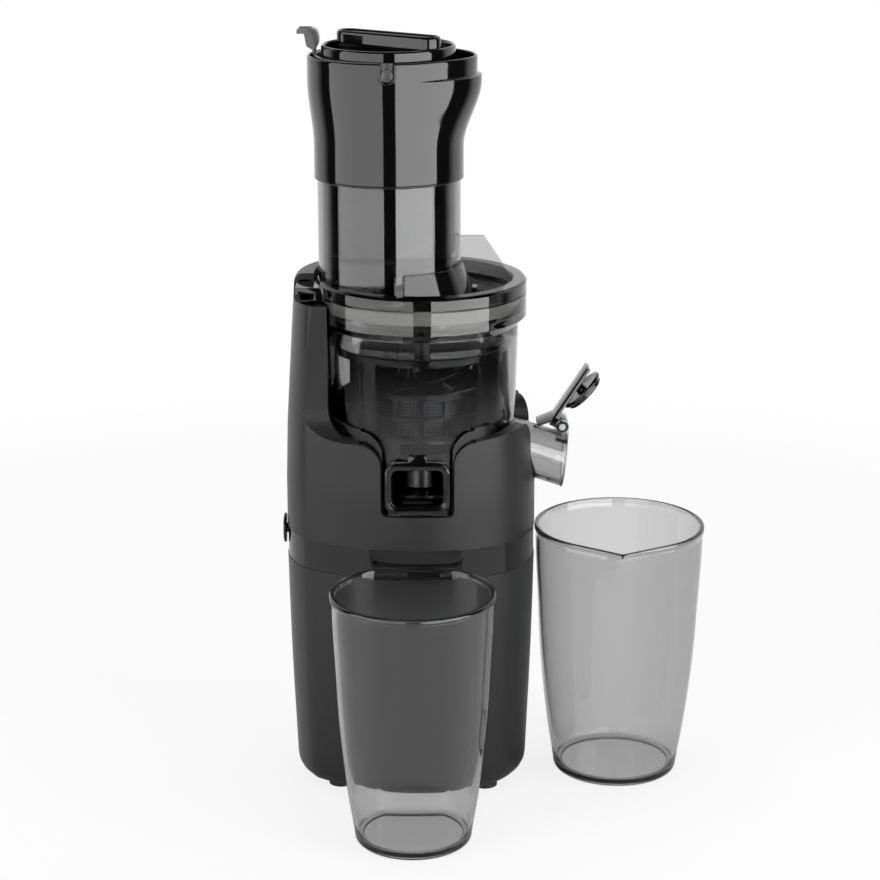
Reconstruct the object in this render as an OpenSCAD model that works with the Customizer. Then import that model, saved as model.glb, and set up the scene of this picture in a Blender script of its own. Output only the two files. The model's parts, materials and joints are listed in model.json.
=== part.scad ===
// Cold press juicer with its pulp cup and juice jug, in millimetres.
// The origin is on the drive axis at bench level. +Z is up, +X is the side of the juice spout,
// and -Y is the side of the pulp outlet, where the pulp cup stands.

/* [Housing] */
// From the foot of the bowl out to the left of the housing, at its widest
left_room = 27.1; // [25.6:0.5:31.6]
// From the foot of the bowl out to the right of the housing, at its widest
right_room = 13.9; // [13.1:0.1:15.6]
// From the foot of the bowl out to the front of the housing
front_room = 3.6; // [3.1:0.5:5.6]
// From the foot of the bowl out to the back of the housing
back_room = 7.1; // [6.1:0.5:9.6]
// From the foot of the bowl out to the upright creases, along X
crease_room = 14.6; // [13.6:0.5:16.6]
// Wall of the housing shells
shell_wall = 3; // [2.5:0.5:3.5]
// Gap between the bench and the underside
bench_gap = 3; // [2:0.5:5]
// Radius round the bottom edge
base_round = 10; // [8:0.5:12]
// How far the bottom edge is drawn in
base_inset = 4.3; // [3:0.1:5]
// How far the top of the column is drawn in
column_inset = 6.8; // [5:0.1:7.5]
// Level of the lower edge of the gloss band
band_z = 147; // [142:1:150]
// Height of the gloss band
band_h = 19; // [17:1:21]
// How far the gloss band lies behind the matte shells
band_step = 0.4; // [0.2:0.1:0.8]
// Level of the deck that the bowl stands on
deck_z = 187; // [185:1:189]
// Thickness of the deck
deck_wall = 4; // [3:0.5:5]
// Level of the rim over the drive axis
rim_z = 237; // [233:0.5:241]
// Level of the top of the column
column_top = 325; // [324:1:329]
// Half depth of the column
column_half = 33; // [30:0.5:34]
// Radius of the cove between the column's front and the rim
cove_r = 18; // [12:1:20]
// Half width of the cut-out round the pulp outlet
cut_half = 22; // [21.5:0.5:24]
// Radius of the cut-out's shoulders
shoulder_r = 13; // [8:1:15]

/* [Bowl] */
// How much wider the bowl is under its flange than at its foot
bowl_flare = 2.8; // [2.2:0.1:3.6]
// How far the flange and the lid's rim stand out from the bowl
flange_lip = 4.8; // [3.8:0.1:5.8]
// Level of the underside of the flange
flange_z = 297; // [292:1:299]
// Level of the bowl's top edge
bowl_top = 314; // [312:1:316]
// Wall of the bowl
bowl_wall = 2.6; // [2:0.1:3]
// Level of the floor that the juice runs on
juice_floor_z = 200; // [198:1:202]
// Outer radius of the juice spout
spout_r = 16.3; // [14:0.1:16.5]
// Reach of the spout from the foot of the bowl
spout_reach = 32.1; // [29.6:0.5:35.6]
// Level of the middle of the spout's end
spout_end_z = 205.7; // [203:0.1:208]
// Width of the pulp outlet's frame
outlet_w = 38.8; // [36:0.1:39.5]
// Height of the pulp outlet's frame
outlet_h = 30; // [27:0.5:31]
// How far the pulp outlet stands to the left of the drive axis
outlet_shift = 2; // [0:0.5:3]

/* [Screw] */
// Outer radius of the auger's flights in the strainer
auger_r = 37; // [35:0.1:38]
// From the auger's flights out to the outside of the bowl at its foot
press_room = 19.4; // [18.6:0.1:20]
// Wall of the perforated sleeve
sleeve_wall = 0.5; // [0.4:0.1:0.8]
// Wall of the strainer cage
cage_wall = 2.2; // [2:0.1:2.6]
// Width across the flats of the drive hexagon
hex_flats = 13; // [11:0.5:14]
// Radius of the drive shaft
shaft_r = 8; // [7:0.5:8.5]

/* [Lid and feed] */
// Outer radius of the feed tube
tube_r = 43; // [42:0.1:43.4]
// How far the feed tube stands to the left of the drive axis
tube_shift = 19; // [18:0.1:20]
// Wall of the feed tube
tube_wall = 2.5; // [2:0.1:2.8]
// Level of the top of the lid's rim
lid_top = 322; // [320:0.5:325]
// Height of the feed tube that shows between the lid's rim and the hopper collar
tube_show = 61; // [54:1:68]
// Height of the hopper collar
collar_h = 73; // [66:1:80]
// Height of the pusher
pusher_h = 124; // [110:1:128]

/* [Cup and jug] */
// Height of the pulp cup
cup_h = 156; // [140:1:165]
// Radius of the pulp cup's rim
cup_rim_r = 49; // [46:0.5:51]
// Radius of the pulp cup's foot
cup_foot_r = 34.8; // [33:0.1:36]
// Height of the juice jug
jug_h = 163; // [145:1:170]
// Radius of the juice jug's rim
jug_rim_r = 53.3; // [51:0.1:54]
// Radius of the juice jug's foot
jug_foot_r = 38.9; // [37:0.1:41]
// Wall of the cup and of the jug
cup_wall = 2.2; // [1.8:0.1:2.8]

/* [Hidden] */
$fn = 96;

// One overrun for every cut
over = 1;
// Room beyond the part, for cutting blocks
span = 160;
collar_z = lid_top + tube_show;
collar_top = collar_z + collar_h;
bowl_low_r = auger_r + press_room;
bowl_top_r = bowl_low_r + bowl_flare;
flange_r = bowl_top_r + flange_lip;
spout_end_x = bowl_low_r + spout_reach;
house_left = bowl_low_r + left_room;
house_right = bowl_low_r + right_room;
house_front = bowl_low_r + front_room;
house_back = bowl_low_r + back_room;
crease_x = bowl_low_r + crease_room;
// Gap of a piece that is set on or in another and lifts off it
seat_gap = 0.3;
// Radial clearance of a shaft in its bush
run_gap = 0.05;

matte = "#3a3a3b";
gloss = "#141415";
smoke = [0.36, 0.36, 0.37, 0.6];
clear_smoke = [0.6, 0.6, 0.61, 0.5];
steel = "#b5b7ba";
zinc = "#8d9094";
copper = "#b06a3a";
rubber = "#1d1d1e";
board_green = "#2f5a41";
nylon = "#d9d7cd";

// Plan of the housing. Each half is one wide arc that runs from the upright crease into a round right
// side, and the left side is an arc of its own through both creases.
// The crease lies at this share of the half's reach
crease_share = 0.6;
function crease_y(reach) = reach * crease_share;
function wide_r(reach) = (pow(crease_x, 2) + pow(reach - crease_y(reach), 2)) / (2 * (reach - crease_y(reach)));
function wide_c(reach) = wide_r(reach) - reach;
function right_r(reach) = (pow(wide_r(reach), 2) - pow(wide_c(reach), 2) - pow(house_right, 2))
    / (2 * (wide_r(reach) - house_right));
function right_c(reach) = house_right - right_r(reach);
left_sag = house_left - crease_x;
function left_r(reach) = (pow(crease_y(reach), 2) + pow(left_sag, 2)) / (2 * left_sag);
function left_c(reach) = house_left - left_r(reach);
// A point this many times beyond the right side's centre is outside the housing
seam_share = 3;

// Sides of the housing: shares of the height and of the inset, from the bench upwards
lower_side_shares = [[0.22, 0.79], [0.4, 0.53], [0.6, 0.3], [0.81, 0.12], [1, 0]];
upper_side_shares = [[0, 0], [0.2, 0.01], [0.42, 0.16], [0.6, 0.41], [0.79, 0.69], [1, 1]];
band_top = band_z + band_h;
floor_z = bench_gap + shell_wall;
// Quarter round of the bottom edge, as shares of its radius: inset and height
round_shares = [[1, 0], [0.69, 0.049], [0.412, 0.191], [0.191, 0.412], [0.049, 0.69], [0, 1]];
function lower_side(z, inset, radius) = [
    for (s = round_shares) [base_inset + inset + s[0] * radius, z + s[1] * radius],
    for (s = lower_side_shares) [base_inset * s[1] + inset, bench_gap + s[0] * (band_z - bench_gap)]
];
function upper_side(inset) = [
    for (s = upper_side_shares) [column_inset * s[1] + inset, band_top + s[0] * (column_top - band_top)]
];
function plain_side(inset, low, high) = [[inset, low], [inset, high]];

// Radii round the drive axis, from the auger outwards
sleeve_gap = 1;
sleeve_in = auger_r + 0.5 * sleeve_gap;
sleeve_out = sleeve_in + sleeve_wall;
cage_in = sleeve_out + 0.2 * sleeve_gap;
cage_out = cage_in + cage_wall;
cage_rib = 1.5;
rib_out = cage_out + cage_rib;
bowl_low_in = bowl_low_r - bowl_wall;
wiper_gap = 0.8;
wiper_out = bowl_low_in - wiper_gap;
wiper_wall = 3;
bowl_foot = deck_z + seat_gap;
bowl_floor = bowl_foot + bowl_wall + 0.4 * bowl_wall;
function bowl_r(z) = bowl_low_r + (bowl_top_r - bowl_low_r) * (z - bowl_foot) / (flange_z - bowl_foot);
// Tilt of the rim: it rises to the back and a little to the right
rim_pitch = 5.7;
rim_roll = 1.5;
function rim_at(x, y) = rim_z + y * tan(rim_pitch) + x * tan(rim_roll);
// The black seat stands this much above the matte rim
seat_rise = 7;
seat_wall = 1.5;
seat_in = bowl_r(rim_at(0, house_back) + seat_rise) + seat_gap;
seat_out = seat_in + seat_wall;
pocket_r = seat_out + 0.1 * seat_wall;
column_clear = 0.8;
column_clear_r = flange_r + column_clear;
column_lap = 8;
column_edge_x = flange_r - column_lap;

// Drive train levels, from the fan upwards
motor_low = 34;
motor_high = 114;
motor_r = 38;
motor_wall = 1.5;
motor_shaft_r = 4;
bearing_h = 6;
bearing_wall = 5;
rotor_r = 21;
air_gap = 1;
plate_wall = 4;
case_low = motor_high + plate_wall;
case_high = 165;
case_wall = 3;
case_r = 34;
lay_case_r = 32;
tower_r = 18;

// Gears: two stages on one centre distance
first_module = 1;
first_pinion_teeth = 14;
first_wheel_teeth = 54;
second_pinion_teeth = 12;
second_wheel_teeth = 40;
gear_distance = first_module * (first_pinion_teeth + first_wheel_teeth) / 2;
second_module = 2 * gear_distance / (second_pinion_teeth + second_wheel_teeth);
first_gear_z = case_low + plate_wall;
first_gear_h = 8;
second_gear_z = first_gear_z + first_gear_h + plate_wall;
second_gear_h = 14;
pressure_angle = 20;
// Each tooth is this many degrees of its gear's pitch thinner on each flank, for backlash
backlash_share = 0.06;
tip_share = 0.8;
root_share = 1.2;

// Solid of revolution for one side of the housing, its radius less the inset of each station
module round_side(radius, side, top_round = 0) {
    high = side[len(side) - 1];
    rotate_extrude() difference() {
        polygon([[0, side[0][1]], for (s = side) [radius - s[0], s[1]], [0, high[1]]]);
        if (top_round > 0) translate([radius - high[0] - top_round, high[1] - top_round])
            round_corner(top_round);
    }
}

// What a fillet of radius r takes off a corner, with the fillet's centre at the origin
module round_corner(r) {
    difference() {
        square([r + over, r + over]);
        circle(r);
    }
}

// One half of the housing's solid, towards -Y
module house_half(reach, side, top_round) {
    low = side[0][1] - over;
    height = side[len(side) - 1][1] + over - low;
    seam = [right_c(reach) * (1 + seam_share), -seam_share * wide_c(reach)];
    intersection() {
        translate([0, wide_c(reach), 0]) round_side(wide_r(reach), side, top_round);
        union() {
            translate([-left_c(reach), 0, 0]) round_side(left_r(reach), side, top_round);
            translate([-left_c(reach), -span, low]) cube([2 * span, 2 * span, height]);
        }
        translate([0, 0, low]) linear_extrude(height)
            polygon([[right_c(reach), 0], seam, [-span, seam[1]], [-span, 0]]);
    }
    intersection() {
        translate([right_c(reach), 0, 0]) round_side(right_r(reach), side, top_round);
        translate([0, 0, low]) linear_extrude(height)
            polygon([[right_c(reach), 0], seam, [span, seam[1]], [span, 0]]);
    }
}

module house_solid(side, top_round = 0) {
    house_half(house_front, side, top_round);
    mirror([0, 1, 0]) house_half(house_back, side, top_round);
}

module tube(outer, inner, low, high) {
    translate([0, 0, low]) difference() {
        cylinder(r = outer, h = high - low);
        translate([0, 0, -over]) cylinder(r = inner, h = high - low + 2 * over);
    }
}

// Rectangle with round corners, on its centre
module round_rect(w, h, r) {
    difference() {
        square([w, h], center = true);
        for (sx = [-1, 1], sy = [-1, 1]) scale([sx, sy]) translate([w / 2 - r, h / 2 - r]) round_corner(r);
    }
}

// Opening that is round at its foot, straight above it, and flares into the levels at its two shoulders
module cut_outline(half, foot, foot_r, left_level, right_level, flare) {
    difference() {
        translate([-half, foot]) square([2 * half, span]);
        for (s = [-1, 1]) scale([s, 1]) translate([half - foot_r, foot + foot_r]) mirror([0, 1]) round_corner(foot_r);
    }
    for (s = [[-1, left_level], [1, right_level]]) scale([s[0], 1]) difference() {
        translate([half - over, s[1] - flare]) square([flare + over, span]);
        translate([half + flare, s[1] - flare]) circle(flare);
    }
}

// Housing
foot_r = 7.5;
foot_sink = 1.5;
foot_places = [[40, -30], [-51, -27], [-51, 27], [40, 30]];
cover_inset = 24;
cover_gap = 0.3;
cover_h = 1.5;
ledge_w = 6;
screw_r = 1.6;
screw_head_r = 3.2;
screw_head_h = 1.2;
cover_screw_places = [[34, 0], [-46, 0], [0, 31], [0, -28]];
gland_x = 0;
gland_z = 30;
gland_r = 6.5;
gland_flange_r = 9;
gland_bore_r = 4;
vent_w = 3;
vent_h = 26;
vent_pitch = 7;
vent_count = 9;
vent_z = 62;
board_x = -70;
board_wall = 1.6;
board_half = 22;
board_low = 58;
board_high = 108;
board_post_r = 3;
board_post_y = 14;
// The posts end inside the housing's wall
post_h = 6.9;
knob_z = 161.5;
knob_r = 8.8;
knob_h = 1.9;
knob_hole_r = 3.7;
knob_shaft_r = 3;

module lower_housing() {
    color(matte) difference() {
        union() {
            difference() {
                house_solid(lower_side(bench_gap, 0, base_round));
                house_solid(concat(lower_side(floor_z, shell_wall, base_round - shell_wall),
                                   [[shell_wall, band_z + over]]));
            }
            for (s = [-1, 1]) translate([board_x - board_wall, s * board_post_y, (board_low + board_high) / 2])
                rotate([0, -90, 0]) cylinder(r = board_post_r, h = post_h);
        }
        // Recess of the cover and the opening above its ledge
        house_solid(plain_side(cover_inset, 0, bench_gap + cover_h));
        house_solid(plain_side(cover_inset + ledge_w, 0, floor_z + over));
        for (p = foot_places) translate([p[0], p[1], 0]) cylinder(r = foot_r, h = bench_gap + foot_sink);
        for (p = cover_screw_places) translate([p[0], p[1], 0]) cylinder(r = screw_r, h = floor_z + over);
        translate([gland_x, 0, gland_z]) rotate([-90, 0, 0]) cylinder(r = gland_r, h = span);
        translate([gland_x, house_back - base_inset, gland_z]) rotate([-90, 0, 0])
            cylinder(r = gland_flange_r + seat_gap, h = span);
        for (i = [0:vent_count - 1])
            translate([(i - (vent_count - 1) / 2) * vent_pitch - vent_w / 2, 0, vent_z])
                cube([vent_w, span, vent_h]);
    }
}

module base_cover() {
    color(matte) difference() {
        house_solid(plain_side(cover_inset + cover_gap, bench_gap, bench_gap + cover_h));
        for (p = cover_screw_places) translate([p[0], p[1], 0]) {
            cylinder(r = screw_r, h = floor_z);
            cylinder(r = screw_head_r, h = bench_gap + screw_head_h);
        }
        for (p = foot_places) translate([p[0], p[1], 0]) cylinder(r = foot_r + cover_gap, h = floor_z);
        for (i = [-3:3]) translate([i * vent_pitch - vent_w / 2, -vent_h / 2, 0]) cube([vent_w, vent_h, floor_z]);
    }
}

module rubber_feet() {
    color(rubber) for (p = foot_places) translate([p[0], p[1], 0]) rotate_extrude()
        polygon([[0, 0], [foot_r - foot_sink, 0], [foot_r, foot_sink / 2], [foot_r, bench_gap + foot_sink],
                 [0, bench_gap + foot_sink]]);
}

module base_screws() {
    color(steel) for (p = cover_screw_places) translate([p[0], p[1], bench_gap + screw_head_h / 2]) {
        cylinder(r = screw_head_r, h = screw_head_h / 2);
        cylinder(r = screw_r, h = floor_z - bench_gap);
    }
}

module trim_band() {
    color(gloss) difference() {
        house_solid(plain_side(band_step, band_z, band_top));
        house_solid(plain_side(shell_wall, band_z - over, band_top + over));
        translate([-house_left - over, 0, knob_z]) rotate([0, 90, 0]) cylinder(r = knob_hole_r, h = house_left / 2);
    }
}

// Everything above the rim, which is raised by rise
module above_rim(rise) {
    translate([0, 0, rim_z + rise]) rotate([rim_pitch, -rim_roll, 0]) translate([-span, -span, 0])
        cube([2 * span, 2 * span, span]);
}

// Space above the rim to the right of the column, with a fillet at the column's foot
module rim_cut() {
    low = rim_at(-column_edge_x, -house_front);
    intersection() {
        above_rim(0);
        translate([0, span, 0]) rotate([90, 0, 0]) linear_extrude(2 * span) difference() {
            translate([-column_edge_x, 0]) square([2 * span, 3 * span]);
            difference() {
                translate([-column_edge_x - over, low - span]) square([cove_r + over, span + cove_r]);
                translate([cove_r - column_edge_x, low + cove_r]) circle(cove_r);
            }
        }
    }
}

// Space in front of the column, or behind it, above a cove
module column_cut(side, low) {
    scale([1, side, 1]) translate([-span, 0, 0]) rotate([90, 0, 90])
        linear_extrude(span + cove_r - column_edge_x) difference() {
            translate([column_half, low]) square([span, span]);
            difference() {
                translate([column_half - over, low - over]) square([cove_r + over, cove_r + over]);
                translate([column_half + cove_r, low + cove_r]) circle(cove_r);
            }
        }
}

spout_tilt = 18;
// The spout's end is cut more upright than the spout's own tilt
spout_face_tilt = 6;
notch_gap = 1;
// Radius of the shoulders beside the spout
notch_round = 13;
function spout_axis_z(x) = spout_end_z + (spout_end_x - x) * tan(spout_tilt);

module spout_notch(half, rise, round) {
    foot = spout_axis_z(house_right) - spout_r - notch_gap;
    near = rim_at(house_right, -half) + rise;
    far = rim_at(house_right, half) + rise;
    rotate([90, 0, 90]) linear_extrude(span) cut_outline(half, foot, spout_r, near, far, round);
}

outlet_foot = bowl_foot + bowl_wall + seat_gap;
cut_foot = deck_z;
cut_corner = 3.5;
// Half width of the gap that the seat leaves on the side of the spout, and the radius of its ends
seat_gate_half = 39;
seat_gate_round = 5;
catch_drop = 10;
catch_low = lid_top - catch_drop;
catch_reach = 11;
catch_x = flange_r + catch_reach;
catch_gap = 1.5;
deck_hole_r = 10;
deck_screw_places = [[22, -17], [22, 17], [-50, -15], [-50, 15]];
deck_head_h = 2.2;

module upper_housing() {
    inside = pocket_r + shell_wall;
    color(matte) difference() {
        house_solid(upper_side(0), base_round / 2);
        // Under the deck
        house_solid(plain_side(shell_wall, band_top - over, deck_z - deck_wall));
        // Pocket of the bowl, wider where the flange passes
        translate([0, 0, deck_z]) cylinder(r = pocket_r, h = span);
        translate([0, 0, flange_z - bowl_wall]) cylinder(r = column_clear_r, h = span);
        rim_cut();
        column_cut(-1, rim_at(-column_edge_x, -house_front + cove_r / 2));
        column_cut(1, rim_at(-column_edge_x, house_back - cove_r / 2));
        // Hollow of the column
        difference() {
            intersection() {
                house_solid(upper_side(shell_wall));
                translate([-span, shell_wall - column_half, band_top - over])
                    cube([span, 2 * (column_half - shell_wall), column_top - shell_wall - band_top]);
            }
            cylinder(r = inside, h = flange_z - 2 * shell_wall);
            cylinder(r = column_clear_r + shell_wall, h = 3 * span);
        }
        // Cut-out of the pulp outlet
        rotate([90, 0, 0]) translate([-outlet_shift, 0, pocket_r / 2]) linear_extrude(span)
            cut_outline(cut_half, cut_foot, cut_corner,
                        rim_at(-cut_half - shoulder_r, -house_front), rim_at(cut_half + shoulder_r, -house_front),
                        shoulder_r);
        translate([pocket_r / 2, 0, 0]) spout_notch(spout_r + notch_gap, 0, notch_round);
        // Notch of the lid's catch
        translate([-catch_x - catch_gap, -span, catch_low - catch_gap])
            cube([span, span - 4 * catch_gap, span]);
        translate([0, 0, deck_z - span / 2]) cylinder(r = deck_hole_r, h = span);
        for (p = deck_screw_places) translate([p[0], p[1], 0]) {
            cylinder(r = screw_r, h = deck_z + over);
            translate([0, 0, deck_z - deck_head_h]) cylinder(r = screw_head_r, h = 2 * deck_head_h);
        }
    }
}

module bowl_seat() {
    color(gloss) difference() {
        tube(seat_out, seat_in, deck_z, rim_at(0, house_back) + 2 * seat_rise);
        above_rim(seat_rise);
        rotate([90, 0, 0]) translate([-outlet_shift, 0, 0]) linear_extrude(span)
            cut_outline(cut_half - over, cut_foot - over, cut_corner,
                        rim_at(-cut_half, -house_front) + seat_rise, rim_at(cut_half, -house_front) + seat_rise,
                        shoulder_r);
        spout_notch(spout_r + notch_gap, seat_rise, seat_gate_round);
        rotate([90, 0, 90]) linear_extrude(span)
            cut_outline(seat_gate_half, rim_at(house_right, 0) - seat_rise, seat_gate_round,
                        rim_at(seat_gate_half, -seat_gate_half) + seat_rise,
                        rim_at(seat_gate_half, seat_gate_half) + seat_rise, seat_gate_round);
    }
}

module cord_gland() {
    wall = house_back - base_inset;
    color(rubber) translate([gland_x, wall - 2 * shell_wall, gland_z]) rotate([-90, 0, 0]) difference() {
        union() {
            cylinder(r = gland_r, h = 2 * shell_wall);
            translate([0, 0, 2 * shell_wall]) cylinder(r1 = gland_flange_r, r2 = gland_r, h = shell_wall);
        }
        translate([0, 0, -over]) cylinder(r = gland_bore_r, h = 4 * shell_wall);
    }
}

module control_knob() {
    color(gloss) translate([-house_left, 0, knob_z]) rotate([0, -90, 0]) {
        translate([0, 0, seat_gap + band_step / 2]) difference() {
            rotate_extrude() polygon([[0, 0], [knob_r, 0], [knob_r, knob_h * 0.7], [knob_r - knob_h * 0.3, knob_h],
                                      [0, knob_h]]);
            translate([knob_r / 2, 0, knob_h]) cube([knob_r / 2, knob_h / 3, knob_h / 3], center = true);
        }
        translate([0, 0, -4 * shell_wall]) cylinder(r = knob_shaft_r, h = 4 * shell_wall + knob_h / 2);
    }
}

switch_w = 13;
module rotary_switch() {
    color(nylon) difference() {
        translate([-house_left + shell_wall + 2 * seat_gap, -switch_w / 2, knob_z - switch_w / 2])
            cube([switch_w, switch_w, switch_w]);
        translate([-house_left, 0, knob_z]) rotate([0, 90, 0])
            cylinder(r = knob_shaft_r + run_gap, h = 4 * shell_wall + over);
    }
}

module control_board() {
    color(board_green) {
        translate([board_x - board_wall, -board_half, board_low])
            cube([board_wall, 2 * board_half, board_high - board_low]);
        translate([board_x, -board_half / 2, board_low + board_post_r])
            cube([3 * board_wall, board_half, board_half / 2]);
        for (s = [-1, 1]) translate([board_x, s * board_half / 2, board_high - board_half / 2])
            rotate([0, 90, 0]) cylinder(r = board_post_r, h = 4 * board_wall);
    }
}

// Motor
module motor_can() {
    color(zinc) difference() {
        translate([0, 0, motor_low]) cylinder(r = motor_r, h = motor_high - motor_low);
        translate([0, 0, motor_low + motor_wall]) cylinder(r = motor_r - motor_wall, h = span);
        translate([0, 0, motor_low - over]) cylinder(r = motor_shaft_r + bearing_wall, h = span);
        for (i = [0:5]) rotate(60 * i) translate([motor_r * 0.55, 0, motor_low - over])
            cylinder(r = bearing_wall, h = motor_wall + 2 * over);
    }
}

brush_room = 18;
wire_room = 20;
stator_low = motor_low + brush_room;
stator_high = motor_high - wire_room;
module motor_stator() {
    color(zinc) difference() {
        translate([0, 0, stator_low]) cylinder(r = motor_r - motor_wall, h = stator_high - stator_low);
        translate([0, 0, stator_low - over]) cylinder(r = rotor_r + air_gap, h = span);
        for (i = [0:11]) rotate(30 * i) translate([rotor_r + air_gap + bearing_wall, 0, stator_low - over])
            cylinder(r = bearing_wall * 0.6, h = span);
    }
}

module motor_windings() {
    color(copper) for (z = [stator_low - bearing_h, stator_high])
        translate([0, 0, z]) rotate_extrude() translate([(motor_r + rotor_r) / 2, bearing_h / 2])
            round_rect(bearing_wall * 2, bearing_h, bearing_h / 3);
}

module motor_bearings() {
    color(steel) {
        tube(motor_shaft_r + bearing_wall, motor_shaft_r + run_gap, motor_low, motor_low + bearing_h);
        tube(motor_shaft_r + bearing_wall, motor_shaft_r + run_gap, case_low - bearing_h, case_low);
    }
}

module rotor_core() {
    color(steel) tube(rotor_r, motor_shaft_r, stator_low, stator_high);
}

fan_low = 20;
fan_h = 11;
fan_r = 34;
fan_blades = 9;
module cooling_fan() {
    color(nylon) {
        tube(motor_shaft_r + bearing_wall, motor_shaft_r, fan_low, fan_low + fan_h);
        tube(fan_r, motor_shaft_r + bearing_wall / 2, fan_low + fan_h - 2 * over, fan_low + fan_h);
        for (i = [0:fan_blades - 1]) rotate(360 / fan_blades * i)
            translate([motor_shaft_r + bearing_wall / 2, -over / 2, fan_low])
                cube([fan_r - motor_shaft_r - bearing_wall, over, fan_h - over]);
    }
}

// Involute gear. Half of a tooth's angle at the radius r, in degrees
function involute(r, base) = let(a = acos(min(1, base / r))) tan(a) * 180 / PI - a;
function tooth_half(r, m, n) = 90 / n * (1 - backlash_share) + involute(m * n / 2, m * n / 2 * cos(pressure_angle))
    - involute(max(r, m * n / 2 * cos(pressure_angle)), m * n / 2 * cos(pressure_angle));
module gear_outline(m, n) {
    pitch = m * n / 2;
    root = pitch - root_share * m;
    tip = pitch + tip_share * m;
    base = max(root, pitch * cos(pressure_angle));
    radii = [root, base, (base + pitch) / 2, pitch, (pitch + tip) / 2, tip];
    polygon([for (i = [0:n - 1]) each concat(
        [for (k = [0:5]) let(a = 360 * i / n - tooth_half(radii[k], m, n)) radii[k] * [cos(a), sin(a)]],
        [for (k = [5:-1:0]) let(a = 360 * i / n + tooth_half(radii[k], m, n)) radii[k] * [cos(a), sin(a)]]
    )]);
}

module motor_shaft() {
    color(steel) {
        translate([0, 0, fan_low - over]) cylinder(r = motor_shaft_r, h = first_gear_z - fan_low + 2 * over);
        translate([0, 0, first_gear_z]) linear_extrude(first_gear_h)
            gear_outline(first_module, first_pinion_teeth);
    }
}

module case_outline(shrink) {
    circle(case_r - shrink);
    translate([-gear_distance, 0]) circle(lay_case_r - shrink);
}

module gearbox_plate() {
    color(zinc) translate([0, 0, motor_high]) linear_extrude(plate_wall) difference() {
        union() {
            circle(motor_r);
            case_outline(0);
        }
        circle(motor_shaft_r + bearing_wall);
        translate([-gear_distance, 0]) circle(motor_shaft_r);
    }
}

module gearbox_case() {
    color(zinc) difference() {
        union() {
            translate([0, 0, case_low]) linear_extrude(case_high - case_low) case_outline(0);
            translate([0, 0, case_low]) cylinder(r = tower_r, h = deck_z - deck_wall - case_low);
            for (p = deck_screw_places) translate([p[0], p[1], case_high - over])
                cylinder(r = bearing_wall, h = deck_z - deck_wall - case_high + over);
        }
        translate([0, 0, case_low - over]) linear_extrude(case_high - case_low - case_wall + over)
            case_outline(case_wall);
        translate([0, 0, case_low]) cylinder(r = shaft_r + bearing_h, h = span);
        translate([-gear_distance, 0, case_low]) cylinder(r = motor_shaft_r, h = case_high - case_low - over);
        for (p = deck_screw_places) translate([p[0], p[1], case_high - case_wall])
            cylinder(r = screw_r, h = span);
    }
}

module gearbox_screws() {
    color(steel) for (p = deck_screw_places) translate([p[0], p[1], 0]) {
        translate([0, 0, case_high]) cylinder(r = screw_r, h = deck_z - deck_head_h - case_high);
        translate([0, 0, deck_z - deck_head_h]) cylinder(r = screw_head_r, h = deck_head_h - seat_gap);
    }
}

module layshaft_pin() {
    color(steel) translate([-gear_distance, 0, motor_high])
        cylinder(r = motor_shaft_r, h = case_high - over - motor_high);
}

module layshaft_gear() {
    color(nylon) translate([-gear_distance, 0, 0]) difference() {
        union() {
            translate([0, 0, first_gear_z]) linear_extrude(first_gear_h) rotate(180 / first_wheel_teeth)
                gear_outline(first_module, first_wheel_teeth);
            translate([0, 0, first_gear_z + over]) linear_extrude(second_gear_z + second_gear_h - first_gear_z)
                rotate(180 / second_pinion_teeth) gear_outline(second_module, second_pinion_teeth);
        }
        translate([0, 0, case_low]) cylinder(r = motor_shaft_r + run_gap, h = span);
    }
}

module output_gear() {
    color(nylon) translate([0, 0, second_gear_z]) linear_extrude(second_gear_h) difference() {
        gear_outline(second_module, second_wheel_teeth);
        circle(shaft_r);
    }
}

hex_h = 24;
shaft_top = bowl_floor + hex_h;
module drive_shaft() {
    color(steel) {
        translate([0, 0, second_gear_z - over]) cylinder(r = shaft_r, h = deck_z + over - second_gear_z + over);
        translate([0, 0, deck_z]) cylinder(d = hex_flats / cos(30), h = shaft_top - deck_z, $fn = 6);
    }
}

module shaft_bushes() {
    color("#a98552") for (z = [case_high - 2 * bearing_h, deck_z - deck_wall - bearing_h - 2 * over])
        tube(shaft_r + bearing_h, shaft_r + run_gap, z, z + bearing_h);
}

module shaft_seal() {
    color(rubber) tube(deck_hole_r, shaft_r + 2 * run_gap, deck_z - deck_wall, deck_z);
}

// Bowl
boss_in = 11;
boss_wall = 3.5;
boss_out = boss_in + boss_wall;
boss_h = 15.5;
boss_top = bowl_floor + boss_h;
cage_seat_in = cage_out + seat_gap;
cage_seat_out = cage_seat_in + bowl_wall;
flange_wall = 3.6;
flange_in = flange_r - flange_wall;
flange_step = 8;
chute_wall = 2.5;
outlet_stand = 0.9;
outlet_y = bowl_low_r + outlet_stand;
outlet_wall = 3.2;
outlet_mid = outlet_foot + outlet_h / 2;
outlet_bar = 3.8;
hinge_back = 2;
hinge_rise = 23.8;
hinge_x = spout_end_x - hinge_back;
hinge_z = spout_end_z + hinge_rise;
hinge_pin_r = 2;
ear_r = 4;
ear_gap = 7.9;
ear_wall = 2.6;
plug_hole_w = 18;
plug_hole_d = 7;

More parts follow.
